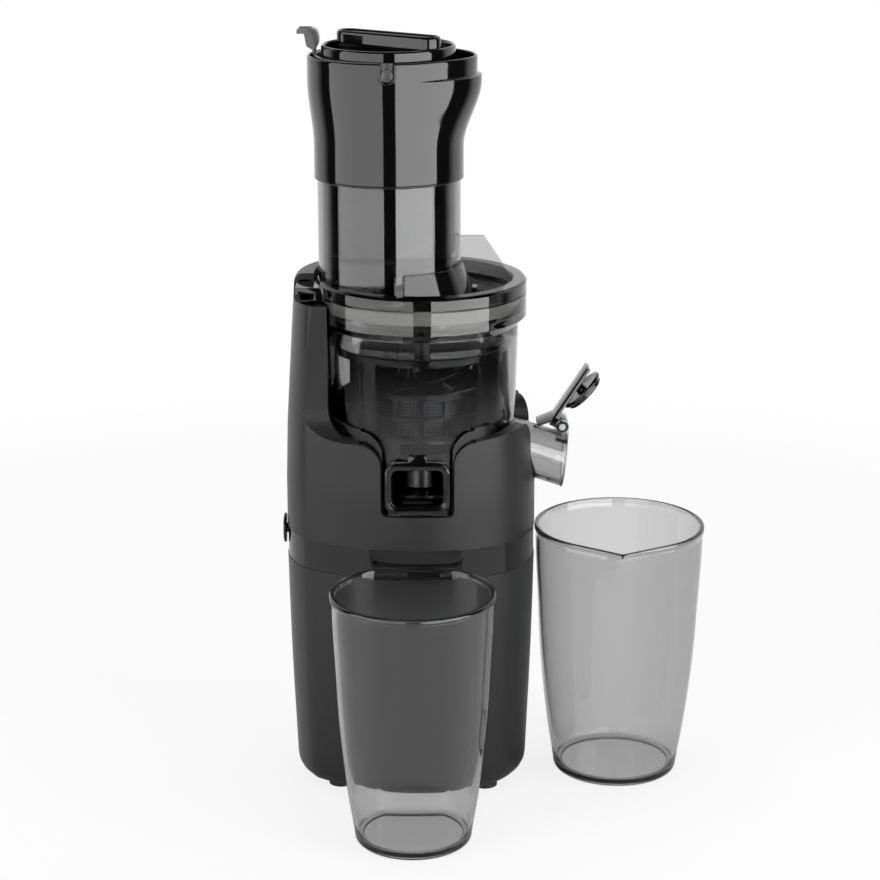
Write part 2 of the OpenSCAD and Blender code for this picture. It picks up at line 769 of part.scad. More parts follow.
module bowl_revolve() {
    rotate_extrude() polygon([
        [boss_in, bowl_foot], [cage_seat_out, bowl_foot], [cage_seat_out, juice_floor_z - bowl_wall],
        [bowl_low_in, juice_floor_z - bowl_wall], [bowl_low_in, bowl_foot], [bowl_low_r, bowl_foot],
        [bowl_top_r, flange_z - bowl_wall], [bowl_top_r + bowl_wall / 2, flange_z - bowl_wall / 3],
        [flange_r - bowl_wall / 2, flange_z + bowl_wall / 2], [flange_r, flange_z + bowl_wall],
        [flange_r, bowl_top - bowl_wall / 4], [flange_r - bowl_wall / 4, bowl_top], [flange_in, bowl_top],
        [flange_in, flange_z + flange_step], [bowl_top_r - bowl_wall, flange_z],
        [bowl_r(juice_floor_z) - bowl_wall, juice_floor_z], [cage_seat_in, juice_floor_z],
        [cage_seat_in, bowl_floor], [boss_out, bowl_floor], [boss_out, boss_top], [boss_in, boss_top]
    ]);
}

// Cylinder along the spout's axis, from inside the bowl to beyond the spout's end
module spout_rod(r) {
    translate([spout_end_x, 0, spout_end_z]) rotate([0, 90 + spout_tilt, 0])
        translate([0, 0, -spout_end_x / 2]) cylinder(r = r, h = spout_end_x);
}

module juicing_bowl() {
    inner = rotate_inner();
    color(smoke) difference() {
        union() {
            bowl_revolve();
            // Spout with its oblique end and the two ears of the cap's hinge
            difference() {
                union() {
                    spout_rod(spout_r);
                    for (s = [-1, 1]) translate([0, s * (ear_gap + ear_wall / 2), 0]) rotate([90, 0, 0])
                        linear_extrude(ear_wall, center = true) {
                            translate([hinge_x, hinge_z]) circle(ear_r);
                            translate([hinge_x - ear_r, spout_end_z]) square([2 * ear_r, hinge_z - spout_end_z]);
                        }
                }
                translate([spout_end_x, 0, spout_end_z]) rotate([0, spout_face_tilt, 0])
                    translate([0, -span / 2, -span / 4]) cube([span, span, span / 2.45]);
                bowl_inside();
            }
            // Tunnel of the pulp, from the strainer to the outlet's frame
            difference() {
                translate([-outlet_shift - outlet_w / 2 + outlet_bar / 2, -outlet_y, bowl_foot])
                    cube([outlet_w - outlet_bar, outlet_y - cage_seat_in, outlet_foot + outlet_h - bowl_foot]);
                cylinder(r = cage_seat_in, h = span * 2);
            }
        }
        spout_rod(spout_r - bowl_wall);
        translate([-outlet_shift, -outlet_y / 2, outlet_mid]) cube([outlet_w - 2 * outlet_bar, outlet_y + 2 * over,
            outlet_h - 2 * outlet_bar], center = true);
        translate([hinge_x, span / 2, hinge_z]) rotate([90, 0, 0]) cylinder(r = hinge_pin_r, h = span);
        translate([-outlet_shift - plug_hole_w / 2, -outlet_y + outlet_wall, bowl_foot - over])
            cube([plug_hole_w, plug_hole_d, bowl_floor]);
    }
}

function rotate_inner() = bowl_low_in;

// Space inside the bowl above the juice floor
module bowl_inside() {
    translate([0, 0, juice_floor_z]) cylinder(r1 = bowl_r(juice_floor_z) - bowl_wall, r2 = bowl_top_r - bowl_wall,
        h = flange_z - juice_floor_z);
    cylinder(r = cage_seat_in, h = flange_z);
}

// Clip over the frame and the shelf that it stands on
clip_w = 11;
clip_h = 5;
shelf_w = 31;
shelf_h = 1.6;
shelf_d = 6;
frame_step = 1.2;
module pulp_outlet() {
    frame_top = outlet_foot + outlet_h;
    color(gloss) {
        translate([-outlet_shift, -outlet_y, outlet_mid]) rotate([90, 0, 0]) {
            difference() {
                linear_extrude(outlet_wall) round_rect(outlet_w, outlet_h, outlet_h / 5);
                translate([0, 0, -over]) linear_extrude(outlet_wall + 2 * over)
                    round_rect(outlet_w - 2 * outlet_bar, outlet_h - 2 * outlet_bar, outlet_h / 8);
                // Step round the mouth
                translate([0, 0, outlet_wall - frame_step]) linear_extrude(outlet_wall)
                    round_rect(outlet_w - outlet_bar, outlet_h - outlet_bar, outlet_h / 6);
            }
        }
        translate([-outlet_shift - shelf_w / 2, -outlet_y - outlet_wall / 2, frame_top - over])
            cube([shelf_w, outlet_wall / 2, shelf_h + over]);
        translate([-outlet_shift - clip_w / 2, -outlet_y - outlet_wall / 2, frame_top - over])
            cube([clip_w, outlet_wall / 2, clip_h + over]);
    }
}

module pulp_plug() {
    color(rubber) translate([-outlet_shift - plug_hole_w / 2, -outlet_y + outlet_wall, bowl_foot])
        cube([plug_hole_w, plug_hole_d, outlet_foot + outlet_bar - bowl_foot - seat_gap]);
}

// Juice cap: drawn shut against the spout's end, then swung open about its hinge
cap_open = 142;
cap_plug_r = 13;
cap_flange_r = 14.6;
cap_flange_h = 2.2;
cap_w = 15;
module cap_swing() {
    translate([hinge_x, 0, hinge_z]) rotate([0, -cap_open, 0]) translate([-hinge_x, 0, -hinge_z]) children();
}

// Frame on the spout's end: its Z axis points out of the spout
module spout_face() {
    translate([spout_end_x, 0, spout_end_z]) rotate([0, 90 + spout_face_tilt, 0]) children();
}

module cap_hinge_pin() {
    color(steel) translate([hinge_x, 0, hinge_z]) rotate([90, 0, 0])
        cylinder(r = hinge_pin_r, h = 2 * (ear_gap + ear_wall), center = true);
}

// Side of the open lever, from the hinge: thumb end, bend and tip on its upper face, then back below
lever_side = [[-15.8, 1.7], [-5.4, 5.9], [14.5, 36.5], [16.7, 35.1], [-3.5, 3.9], [-14.9, -0.5]];
stem_r = 3;
stem_h = 4.6;
module cap_lever() {
    color(gloss) difference() {
        union() {
            translate([hinge_x, 0, hinge_z]) rotate([90, 0, 0]) {
                cylinder(r = ear_r, h = 2 * ear_gap - 2 * seat_gap, center = true);
                linear_extrude(cap_w, center = true) polygon(lever_side);
                // Web from the knuckle to the bar
                linear_extrude(2 * (ear_gap - seat_gap), center = true)
                    polygon([[ear_r / 2, ear_r / 2], lever_side[1], lever_side[0] / 2, [-ear_r / 2, -ear_r / 2]]);
            }
            cap_swing() spout_face() translate([0, 0, cap_flange_h + seat_gap]) cylinder(r = stem_r, h = stem_h);
        }
        translate([hinge_x, 0, hinge_z]) rotate([90, 0, 0])
            cylinder(r = hinge_pin_r + run_gap, h = span, center = true);
    }
}

module cap_plug() {
    color(rubber) cap_swing() spout_face() {
        translate([0, 0, -cap_flange_h]) cylinder(r1 = cap_plug_r - over, r2 = cap_plug_r,
            h = cap_flange_h + seat_gap);
        translate([0, 0, seat_gap]) cylinder(r = cap_flange_r, h = cap_flange_h);
    }
}

// Strainer, wiper and auger
cage_foot = bowl_floor + seat_gap;
cage_floor_h = 3;
rib_rise = 17;
rib_low = juice_floor_z + rib_rise;
rib_pitch = 12.5;
rib_h = 1.8;
rib_count = 4;
cage_top = rib_low + (rib_count - 1) * rib_pitch + 2 * rib_h;
cage_bars = 16;
bar_w = 3;

module strainer_cage() {
    color(gloss) difference() {
        union() {
            difference() {
                tube(cage_out, cage_in, cage_foot, cage_top);
                for (i = [0:rib_count - 2], k = [0:cage_bars / 2 - 1]) rotate(360 / cage_bars * (k + 0.5))
                    translate([0, 0, rib_low + rib_h / 2 + (i + 0.5) * rib_pitch])
                        cube([2 * span, 2 * PI * cage_out / cage_bars - bar_w, rib_pitch], center = true);
            }
            tube(cage_out - over, boss_out + 2 * seat_gap, cage_foot, cage_foot + cage_floor_h);
            for (i = [0:rib_count - 1]) tube(rib_out, cage_in, rib_low + i * rib_pitch, rib_low + i * rib_pitch + rib_h);
            tube(rib_out, cage_in, cage_top - rib_h, cage_top);
        }
        // The ribs stop at the pulp's tunnel
        difference() {
            translate([-outlet_shift - outlet_w / 2, -span, 0])
                cube([outlet_w, span, outlet_foot + outlet_h + seat_gap]);
            cylinder(r = cage_out, h = 2 * span);
        }
        // Way out of the pulp
        translate([-outlet_shift, -span / 2, outlet_mid]) cube([outlet_w - 2.4 * outlet_bar, span,
            outlet_h - 2.4 * outlet_bar], center = true);
    }
}

module strainer_sleeve() {
    color(steel) tube(sleeve_out, sleeve_in, rib_low, rib_low + (rib_count - 1) * rib_pitch + rib_h);
}

// The wiper turns above the pulp's tunnel
wiper_rise = 0.6;
wiper_low = outlet_foot + outlet_h + wiper_rise;
wiper_drop = 15;
wiper_high = flange_z - wiper_drop;
wiper_in = wiper_out - wiper_wall;
wiper_base_h = 13;
wiper_port_w = 33;
wiper_port_h = 6;
wiper_ring_h = 4;
window_low = wiper_low + wiper_base_h;
window_high = wiper_high - wiper_ring_h;
// Start and width of each window between the wiper's panels, in degrees, and the turn of each blade
wiper_windows = [[50, 38], [140, 78], [240, 70]];
wiper_blade_turns = [0, 114, 229];
blade_wall = 2;
module wiper_frame() {
    color(gloss) difference() {
        tube(wiper_out, wiper_in, wiper_low, wiper_high);
        for (w = wiper_windows) rotate(w[0]) rotate_extrude(angle = w[1])
            translate([wiper_in - over, window_low]) square([wiper_wall + 2 * over, window_high - window_low]);
        // Ports of the base ring
        for (w = wiper_windows) rotate(w[0] + w[1] / 2) translate([0, -wiper_port_w / 2, wiper_low + wiper_ring_h])
            cube([span, wiper_port_w, wiper_port_h]);
        for (turn = wiper_blade_turns) rotate(turn) blade_block();
    }
}

module blade_block() {
    translate([rib_out + seat_gap, -blade_wall / 2, wiper_low + wiper_ring_h])
        cube([bowl_low_in - rib_out - 2 * seat_gap, blade_wall, window_high - wiper_low - wiper_ring_h]);
}

module wiper_blades() {
    color(rubber) for (turn = wiper_blade_turns) rotate(turn) blade_block();
}

auger_foot = cage_foot + cage_floor_h + seat_gap;
head_gap = 2.4;
head_low = cage_top + head_gap;
head_drop = 7;
auger_top = flange_z - head_drop;
head_r = 41.5;
head_turn = 150;
head_slices = 18;
pin_r = 5;
pin_drop = 8;
pin_top = lid_top - pin_drop;
flight_turn = 300;
flight_slices = 36;
core_low_r = 25;
core_high_r = 11;
// Outline of one flight across the axis: shares of the flight's radius along it, and of its root's width
flight_shares = [[0.15, -1], [0.6, -0.7], [0.95, -0.5], [1, -0.2], [1, 0.2], [0.95, 0.5], [0.6, 0.7], [0.15, 1]];
flight_root = 5;

head_start = 70;
module flights(r) {
    for (k = [0, 180]) rotate(k) polygon([for (s = flight_shares) [r * s[0], flight_root * s[1]]]);
}

module auger() {
    color(gloss) difference() {
        union() {
            rotate_extrude() polygon([
                [0, bowl_floor + seat_gap], [boss_in - 2 * seat_gap, bowl_floor + seat_gap],
                [boss_in - 2 * seat_gap, boss_top + seat_gap], [boss_out + 2 * seat_gap, boss_top + seat_gap],
                [boss_out + 2 * seat_gap, auger_foot], [core_low_r, auger_foot],
                [core_high_r, auger_top], [pin_r, auger_top + pin_r], [pin_r, pin_top], [0, pin_top]
            ]);
            difference() {
                union() {
                    translate([0, 0, auger_foot]) linear_extrude(head_low - over - auger_foot, twist = -flight_turn,
                        slices = flight_slices, $fn = 8) flights(auger_r);
                    translate([0, 0, head_low]) linear_extrude(auger_top - head_low, twist = -head_turn,
                        slices = head_slices, $fn = 8) rotate(head_start) flights(head_r);
                }
                cylinder(r = boss_out + 3 * seat_gap, h = boss_top + 2 * seat_gap);
            }
        }
        translate([0, 0, bowl_floor - over]) cylinder(d = (hex_flats + seat_gap) / cos(30),
            h = shaft_top + over - bowl_floor + over, $fn = 6);
    }
}

// Lid
dish_drop = 13;
dish_z = lid_top - dish_drop;
seal_room = 2.2;
skirt_out = flange_in - seal_room;
skirt_wall = 2.4;
// Lower ring of the lid, inside the bowl
drop_ring_h = 25;
drop_ring_gap = 0.6;
drop_ring_wall = 1.6;
drop_ring_z = dish_z - drop_ring_h;
drop_ring_out = bowl_r(drop_ring_z) - bowl_wall - drop_ring_gap;
seal_in = skirt_out + seat_gap;
seal_out = flange_in - seat_gap;
lid_low = bowl_top + 2 * seat_gap;
lid_rim_w = 8;
lid_rim_in = flange_r - lid_rim_w;
dish_wall = 3;
lid_round = 1.5;
collar_hold = 55;
tube_top = collar_z + collar_hold;
tube_in = tube_r - tube_wall;
fin_wall = 2.6;
fin_h = 25;
fin_top = lid_top + fin_h;
fin_flat_x = 38;
fin_low_x = flange_r - 3;
fin_r = 9;
fin_slope = 56;

module lid_seal() {
    color("#c9c9c9") tube(seal_out, seal_in, flange_z + flange_step + seat_gap, bowl_top - 2 * seat_gap);
}

module lid() {
    color(smoke) difference() {
        union() {
            rotate_extrude() polygon([
                [0, dish_z], [drop_ring_out - drop_ring_wall, dish_z], [drop_ring_out - drop_ring_wall, drop_ring_z],
                [drop_ring_out, drop_ring_z], [drop_ring_out, flange_z + flange_step],
                [skirt_out, flange_z + flange_step], [skirt_out, lid_low], [flange_r, lid_low],
                [flange_r, lid_top - lid_round], [flange_r - lid_round, lid_top], [lid_rim_in, lid_top],
                [lid_rim_in - lid_round, dish_z + dish_wall], [0, dish_z + dish_wall]
            ]);
            translate([-tube_shift, 0, lid_low]) cylinder(r = tube_r, h = tube_top - lid_low);
            // Upright rib beside the tube
            rotate([90, 0, 0]) linear_extrude(fin_wall, center = true) difference() {
                union() {
                    translate([0, dish_z]) square([lid_rim_in, fin_top - dish_z]);
                    translate([0, lid_low]) square([fin_low_x, fin_top - lid_low]);
                }
                translate([fin_flat_x, fin_top]) rotate(-fin_slope) translate([0, 0]) square([span, span]);
            }
        }
        // Bore of the tube, which keeps inside the skirt below the rim
        translate([-tube_shift, 0, lid_low + over]) cylinder(r = tube_in, h = span);
        intersection() {
            translate([-tube_shift, 0, 0]) cylinder(r = tube_in, h = lid_low + 2 * over);
            cylinder(r = drop_ring_out - drop_ring_wall, h = lid_low + 2 * over);
        }
        arm_block(seat_gap / 3);
    }
}

arm_half = 6;
arm_h = 4;
arm_reach = 34;
hub_r = 11;
slope_rise = 9;
hub_low = auger_top + pin_r + seat_gap;
module arm_block(grow) {
    translate([0, -arm_half - grow, dish_z + dish_wall - grow])
        cube([arm_reach + grow, 2 * (arm_half + grow), arm_h + 2 * grow]);
}

module auger_guide() {
    slope_low = dish_z + dish_wall;
    slope_high = lid_top + slope_rise;
    color(gloss) difference() {
        union() {
            translate([0, 0, hub_low]) cylinder(r = hub_r, h = slope_low + arm_h - hub_low);
            intersection() {
                arm_block(0);
                translate([-tube_shift, 0, 0]) cylinder(r = tube_shift + arm_reach, h = span * 3);
            }
            // Slope round the right of the tube's foot
            difference() {
                intersection() {
                    translate([-tube_shift, 0, slope_low]) cylinder(r1 = tube_r + slope_rise, r2 = tube_r + over,
                        h = slope_high - slope_low);
                    translate([0, 0, slope_low]) cylinder(r = lid_rim_in - 3 * lid_round, h = span);
                    translate([-tube_shift / 2, -span / 2, 0]) cube([span, span, 3 * span]);
                }
                translate([-tube_shift, 0, slope_low - over]) cylinder(r = tube_r, h = span);
                translate([0, -fin_wall / 2, slope_low + arm_h]) cube([span, fin_wall, span]);
            }
        }
        translate([0, 0, hub_low - over]) cylinder(r = pin_r + run_gap, h = pin_top - hub_low + 2 * over);
    }
}

catch_y = -27;
catch_w = 18;
catch_l = 30;
catch_slot_w = 8;
catch_slot_h = 3.5;
module lid_catch() {
    color(gloss) difference() {
        translate([-catch_x, catch_y, catch_low]) cube([catch_l, catch_w, lid_top - lid_round - catch_low]);
        cylinder(r = flange_r, h = 3 * span);
        translate([-catch_x + lid_round * 2, catch_y - over, catch_low + lid_round])
            cube([catch_slot_w, catch_w + 2 * over, catch_slot_h]);
    }
}

// Hopper collar: it is round at its foot and flares, more to the right than to the left
collar_wall = 2;
collar_fit = 0.1;
collar_skin = 1.7;
collar_r = tube_r + collar_fit + collar_skin;
flare_start = 19;
flare_z = collar_z + flare_start;
flare_left = 3.5;
flare_right = 10.6;
// On the right the collar steps back below its rim
rim_step = 2.6;
rim_step_h = 11;
rim_step_z = collar_top - rim_step_h;
flare_depth = 2.3;
// Each side of the flare is done at this share of its height
flare_done_shares = [1, 0.75, 0.85];
flare_steps = 10;
flare_sides = 96;
pivot_drop = 7;
pivot_z = collar_top - pivot_drop;
pivot_r = 3.5;
slot_gap = 0.1;
boss_ring = 1.4;

function smooth(t) = let(u = max(0, min(1, t))) u * u * (3 - 2 * u);
function flare_point(z, turn, shrink, step_z) = let(
    t = (z - flare_z) / (collar_top - flare_z),
    left = collar_r + flare_left * smooth(t / flare_done_shares[0]),
    right = collar_r + flare_right * smooth(t / flare_done_shares[1]) - (z > step_z ? rim_step : 0),
    half = collar_r + flare_depth * smooth(t / flare_done_shares[2])
) [(right - left) / 2 - tube_shift + ((right + left) / 2 - shrink) * cos(turn), (half - shrink) * sin(turn), z];

// Loft through rings at the listed levels
module flare(levels, shrink, step_z) {
    n = flare_sides;
    last = len(levels) - 1;
    polyhedron(
        points = [for (z = levels, k = [0:n - 1]) flare_point(z, 360 * k / n, shrink, step_z)],
        faces = concat(
            [[for (k = [0:n - 1]) k], [for (k = [n - 1:-1:0]) last * n + k]],
            [for (i = [0:last - 1], k = [0:n - 1]) [(i + 1) * n + k, (i + 1) * n + (k + 1) % n, i * n + k]],
            [for (i = [0:last - 1], k = [0:n - 1])
                [i * n + (k + 1) % n, i * n + k, (i + 1) * n + (k + 1) % n]]
        )
    );
}
function flare_levels(low, high, steps) = [for (i = [0:steps]) low + (high - low) * i / steps];

module hopper_collar() {
    color(gloss) difference() {
        union() {
            flare(concat([collar_z], flare_levels(flare_z, rim_step_z, flare_steps),
                         [rim_step_z + over, collar_top]), 0, rim_step_z);
            // Raised rims of the two pivot slots
            for (s = [-1, 1]) translate([-tube_shift, 0, pivot_z]) rotate([90 * s, 0, 0]) {
                cylinder(r = pivot_r + boss_ring, h = collar_r + flare_depth + over / 2);
            }
        }
        translate([-tube_shift, 0, collar_z - over]) cylinder(r = tube_r + collar_fit, h = tube_top + over - collar_z);
        flare(concat(flare_levels(tube_top, rim_step_z - 2 * over, 3), [rim_step_z - over, collar_top + over]),
            collar_wall, rim_step_z - 2 * over);
        for (s = [-1, 1]) translate([-tube_shift, 0, 0]) {
            translate([0, 0, pivot_z]) rotate([90 * s, 0, 0])
                cylinder(r = pivot_r + slot_gap, h = span);
            scale([1, s, 1]) translate([-pivot_r - slot_gap, tube_r / 2, pivot_z])
                cube([2 * (pivot_r + slot_gap), span, span]);
        }
    }
}

// Feed gate: half a ring on two pivots, with a hooked lever
gate_wall = 1.3;
gate_clear = 0.8;
gate_out = collar_r - gate_clear;
gate_in = gate_out - gate_wall;
gate_h = 14.5;
gate_low = collar_top - gate_h;
lever_w = 11;
module feed_gate() {
    color("#4a4a4b") translate([-tube_shift, 0, 0]) {
        difference() {
            tube(gate_out, gate_in, gate_low, collar_top);
            translate([pivot_r, -span / 2, gate_low - over]) cube([span, span, span]);
        }
        for (s = [-1, 1]) translate([0, s * gate_in, pivot_z]) rotate([-90 * s, 0, 0])
            difference() {
                cylinder(r = pivot_r, h = collar_r + flare_depth - gate_in);
                translate([0, 0, -over]) cylinder(r = pivot_r / 2, h = over / 2);
            }
        translate([0, lever_w / 2, 0]) rotate([90, 0, 0]) linear_extrude(lever_w) lever_outline();
    }
}

// The lever's side: outwards from the ring's inside and up from its top, from the heel round the hooked tip
lever_side_points = [
    [0, -2], [1.3, -2], [1.9, 2.9], [5.4, 5.1], [6.8, 12.4], [11.1, 12.4], [11.1, 14.3], [10.2, 15.4],
    [2.5, 15.4], [0, 14.7], [-1.5, 12.8], [-2, 10], [-2, 7], [0, 3]
];
module lever_outline() {
    polygon([for (p = lever_side_points) [-gate_in - p[0], collar_top + p[1]]]);
}

// Pusher
pusher_gap = 0.5;
pusher_r = tube_in - pusher_gap;
pusher_wall = 2.5;
pusher_rise = 6;
pusher_top = collar_top + pusher_rise;
pusher_foot = pusher_top - pusher_h;
cap_drop = 10;
cap_z = pusher_top - cap_drop;
cap_h = 3;
loop_r = 7.5;
loop_half = 30;
loop_turn = -35;
loop_rise = 6.5;
loop_top = pusher_top + loop_rise;
loop_wall = 3;
module pusher_cup() {
    color(gloss) translate([-tube_shift, 0, 0]) difference() {
        translate([0, 0, pusher_foot]) cylinder(r = pusher_r, h = pusher_top - pusher_foot);
        translate([0, 0, pusher_foot + pusher_wall]) cylinder(r = pusher_r - pusher_wall, h = span);
    }
}

module loop_outline(r) {
    for (s = [-1, 1]) translate([s * loop_half, 0]) circle(r);
    square([2 * loop_half, 2 * r], center = true);
}

module pusher_handle() {
    color(gloss) translate([-tube_shift, 0, cap_z]) {
        cylinder(r = pusher_r - pusher_wall, h = cap_h);
        rotate(loop_turn) linear_extrude(loop_top - cap_z) intersection() {
            difference() {
                loop_outline(loop_r);
                loop_outline(loop_r - loop_wall);
            }
            circle(pusher_r - pusher_wall - seat_gap);
        }
    }
}

// Cup and jug
cup_x = -4.5;
cup_gap = 1;
cup_flat_rim = 42;
cup_y = -(outlet_y + outlet_wall + cup_gap + cup_flat_rim);
cup_flat_foot = 29.2;
cup_floor = 4;
cup_bead = 3;
cup_bead_out = 0.8;
vessel_round = 5;
// Rounded foot of a vessel: shares of its radius inwards and upwards
foot_shares = [[1, 0], [0.5, 0.134], [0.134, 0.5], [0, 1]];
// Its side: shares of the height, and of the way from the foot's radius to the rim's
vessel_shares = [[0.075, 0.12], [0.18, 0.32], [0.35, 0.57], [0.52, 0.745], [0.69, 0.85], [0.87, 0.965], [1, 1]];
module vessel(foot, rim, height, shrink, low, beyond) {
    rotate_extrude() polygon([
        [0, low], for (s = foot_shares) [foot - shrink - s[0] * vessel_round, low + s[1] * vessel_round],
        for (s = vessel_shares) [foot + (rim - foot) * s[1] - shrink, height * s[0]],
        [rim - shrink, height + beyond], [0, height + beyond]
    ]);
}

module cup_solid(shrink, low, beyond) {
    lean = atan((cup_flat_rim - cup_flat_foot) / cup_h);
    intersection() {
        vessel(cup_foot_r, cup_rim_r - cup_bead_out, cup_h, shrink, low, beyond);
        translate([0, cup_flat_foot - shrink, 0]) rotate([-lean, 0, 0]) translate([-span, -2 * span, -span])
            cube([2 * span, 2 * span, 3 * span]);
    }
}
module cup_rim() {
    lean = atan((cup_flat_rim - cup_flat_foot) / cup_h);
    intersection() {
        translate([0, 0, cup_h - cup_bead]) cylinder(r = cup_rim_r, h = cup_bead);
        translate([0, cup_flat_foot + cup_bead_out, 0]) rotate([-lean, 0, 0]) translate([-span, -2 * span, -span])
            cube([2 * span, 2 * span, 3 * span]);
    }
}

module pulp_cup() {
    color(clear_smoke) translate([cup_x, cup_y, 0]) difference() {
        union() {
            cup_solid(0, 0, 0);
            cup_rim();
        }
        cup_solid(cup_wall, cup_floor, over);
    }
}

jug_side = 35.3;
jug_x = spout_end_x + jug_side;
jug_y = 5;
lip_reach = 7.5;
lip_half = 17;
lip_drop = 34;
// Pouring lip: a nose on the rim that runs out on the wall below
module jug_lip(shrink) {
    front = jug_rim_r - cup_bead_out;
    hull() {
        translate([0, -front - lip_reach + cup_bead + shrink, jug_h - cup_bead])
            cylinder(r = cup_bead, h = cup_bead + shrink, $fn = 24);
        translate([0, -jug_foot_r, jug_h - cup_bead]) cube([2 * (lip_half - shrink), cup_bead, 2 * cup_bead], center = true);
        translate([0, -front + cup_bead + shrink + cup_wall, jug_h - lip_drop]) cylinder(r = cup_wall, h = cup_wall, $fn = 16);
    }
}

module juice_jug() {
    color(clear_smoke) translate([jug_x, jug_y, 0]) difference() {
        union() {
            vessel(jug_foot_r, jug_rim_r - cup_bead_out, jug_h, 0, 0, 0);
            translate([0, 0, jug_h - cup_bead]) cylinder(r = jug_rim_r, h = cup_bead);
            intersection() {
                jug_lip(0);
                cylinder(r = span, h = jug_h);
            }
        }
        vessel(jug_foot_r, jug_rim_r - cup_bead_out, jug_h, cup_wall, cup_floor, over);
        jug_lip(cup_wall);
    }
}

lower_housing();
base_cover();
rubber_feet();
base_screws();
trim_band();
upper_housing();
bowl_seat();
cord_gland();
control_knob();
rotary_switch();
control_board();
motor_can();
motor_stator();
motor_windings();
motor_bearings();
rotor_core();
motor_shaft();
cooling_fan();
gearbox_plate();
gearbox_case();
gearbox_screws();
layshaft_pin();
layshaft_gear();
output_gear();
drive_shaft();
shaft_bushes();
shaft_seal();
juicing_bowl();
pulp_outlet();
pulp_plug();
cap_hinge_pin();
cap_lever();
cap_plug();
strainer_cage();
strainer_sleeve();
wiper_frame();
wiper_blades();
auger();
lid_seal();
lid();
auger_guide();
lid_catch();
hopper_collar();
feed_gate();
pusher_cup();
pusher_handle();
pulp_cup();
juice_jug();
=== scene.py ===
"""Looks of the cold press juicer: finishes, detailed pieces, studio and camera.

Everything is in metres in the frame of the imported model: the origin is on the drive axis at bench level, +Z is up,
+X is the side of the juice spout and -Y is the side of the pulp outlet. Sizes of pieces are written in millimetres.
"""

from __future__ import annotations

import json
import logging
import math
from contextlib import contextmanager
from dataclasses import dataclass
from enum import Enum
from typing import Any, Callable, Iterator

import bmesh
import bpy
from mathutils import Matrix, Vector

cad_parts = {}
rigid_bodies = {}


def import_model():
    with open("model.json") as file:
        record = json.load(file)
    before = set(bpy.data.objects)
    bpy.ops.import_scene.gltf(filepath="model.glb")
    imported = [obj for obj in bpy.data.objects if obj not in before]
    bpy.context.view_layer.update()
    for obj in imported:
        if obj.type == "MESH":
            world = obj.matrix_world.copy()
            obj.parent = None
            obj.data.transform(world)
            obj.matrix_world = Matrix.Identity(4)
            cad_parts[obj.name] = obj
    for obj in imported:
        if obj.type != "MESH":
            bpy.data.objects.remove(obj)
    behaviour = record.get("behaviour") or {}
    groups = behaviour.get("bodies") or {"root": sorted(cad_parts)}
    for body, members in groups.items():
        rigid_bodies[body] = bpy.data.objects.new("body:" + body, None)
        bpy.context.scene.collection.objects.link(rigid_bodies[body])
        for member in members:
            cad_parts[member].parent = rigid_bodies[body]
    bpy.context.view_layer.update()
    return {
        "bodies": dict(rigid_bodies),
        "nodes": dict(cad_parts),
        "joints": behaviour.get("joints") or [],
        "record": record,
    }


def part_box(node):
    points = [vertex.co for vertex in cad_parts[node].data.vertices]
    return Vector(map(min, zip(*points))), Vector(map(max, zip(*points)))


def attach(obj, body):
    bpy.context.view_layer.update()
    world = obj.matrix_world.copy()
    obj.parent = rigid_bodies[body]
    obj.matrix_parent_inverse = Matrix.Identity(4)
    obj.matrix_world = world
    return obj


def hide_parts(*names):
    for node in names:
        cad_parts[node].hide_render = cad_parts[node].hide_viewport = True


Point = tuple[float, float, float]
Row = tuple[float, float]

MM = 0.001
WHITE = (1.0, 1.0, 1.0, 1.0)
# Points closer than this are one, in metres.
WELD = 1e-6
# Edges that turn by more stay sharp, in degrees: on a moulding, and on a bead or where two curved walls meet.
CREASE = 32.0
SOFT_CREASE = 50.0
# Nearly all values of a noise texture lie between these.
NOISE_LOW, NOISE_HIGH = 0.3, 0.7
log = logging.getLogger("juicer")


class Part(Enum):
    """Material slots of the record that pieces take their finish from."""

    MATTE = "matte_housing"
    GLOSS = "gloss_black"
    GATE = "dark_gate"
    SMOKE = "smoky_clear"
    CUP = "cup_clear"
    RUBBER = "black_rubber"
    SILICONE = "pale_silicone"
    STEEL = "bright_steel"
    IRON = "motor_iron"
    ZINC = "zinc_case"
    COPPER = "copper_wire"
    BRONZE = "bronze"
    NYLON = "white_nylon"
    BOARD = "green_board"


def linear(code: str) -> tuple[float, float, float, float]:
    """Turns an sRGB hex value into a linear colour.

    Args:
        code: Six hex digits, such as "3a3a3b".

    Returns:
        Linear red, green, blue and an alpha of 1.
    """
    parts = [int(code[i : i + 2], 16) / 255 for i in (0, 2, 4)]
    low = [p / 12.92 if p <= 0.04045 else ((p + 0.055) / 1.055) ** 2.4 for p in parts]
    return (low[0], low[1], low[2], 1.0)


def add(tree: bpy.types.NodeTree, kind: str, settings: dict[str, Any] | None = None,
        inputs: dict[str | int, Any] | None = None) -> bpy.types.Node:
    """Adds a node with its settings, values and links.

    Sockets go by number where names repeat: Mix has its factor at 0, numbers at 2 and 3 and colours at 6 and 7, and
    Map Range has the value at 0, its range at 1 and 2 and the new range at 3 and 4.

    Args:
        tree: The tree that gets the node.
        kind: The node's type name.
        settings: Attributes of the node.
        inputs: Input name or number to a value, or to an output socket to link from.

    Returns:
        The new node.
    """
    node = tree.nodes.new(kind)
    for name, value in (settings or {}).items():
        setattr(node, name, value)
    for name, value in (inputs or {}).items():
        if isinstance(value, bpy.types.NodeSocket):
            tree.links.new(value, node.inputs[name])
        else:
            node.inputs[name].default_value = value
    return node


def new_material(name: str) -> tuple[bpy.types.Material, bpy.types.NodeTree]:
    """Makes an empty material.

    Args:
        name: The material's name.

    Returns:
        The material and its node tree.
    """
    material = bpy.data.materials.new(name)
    material.use_nodes = True
    material.node_tree.nodes.clear()
    return material, material.node_tree


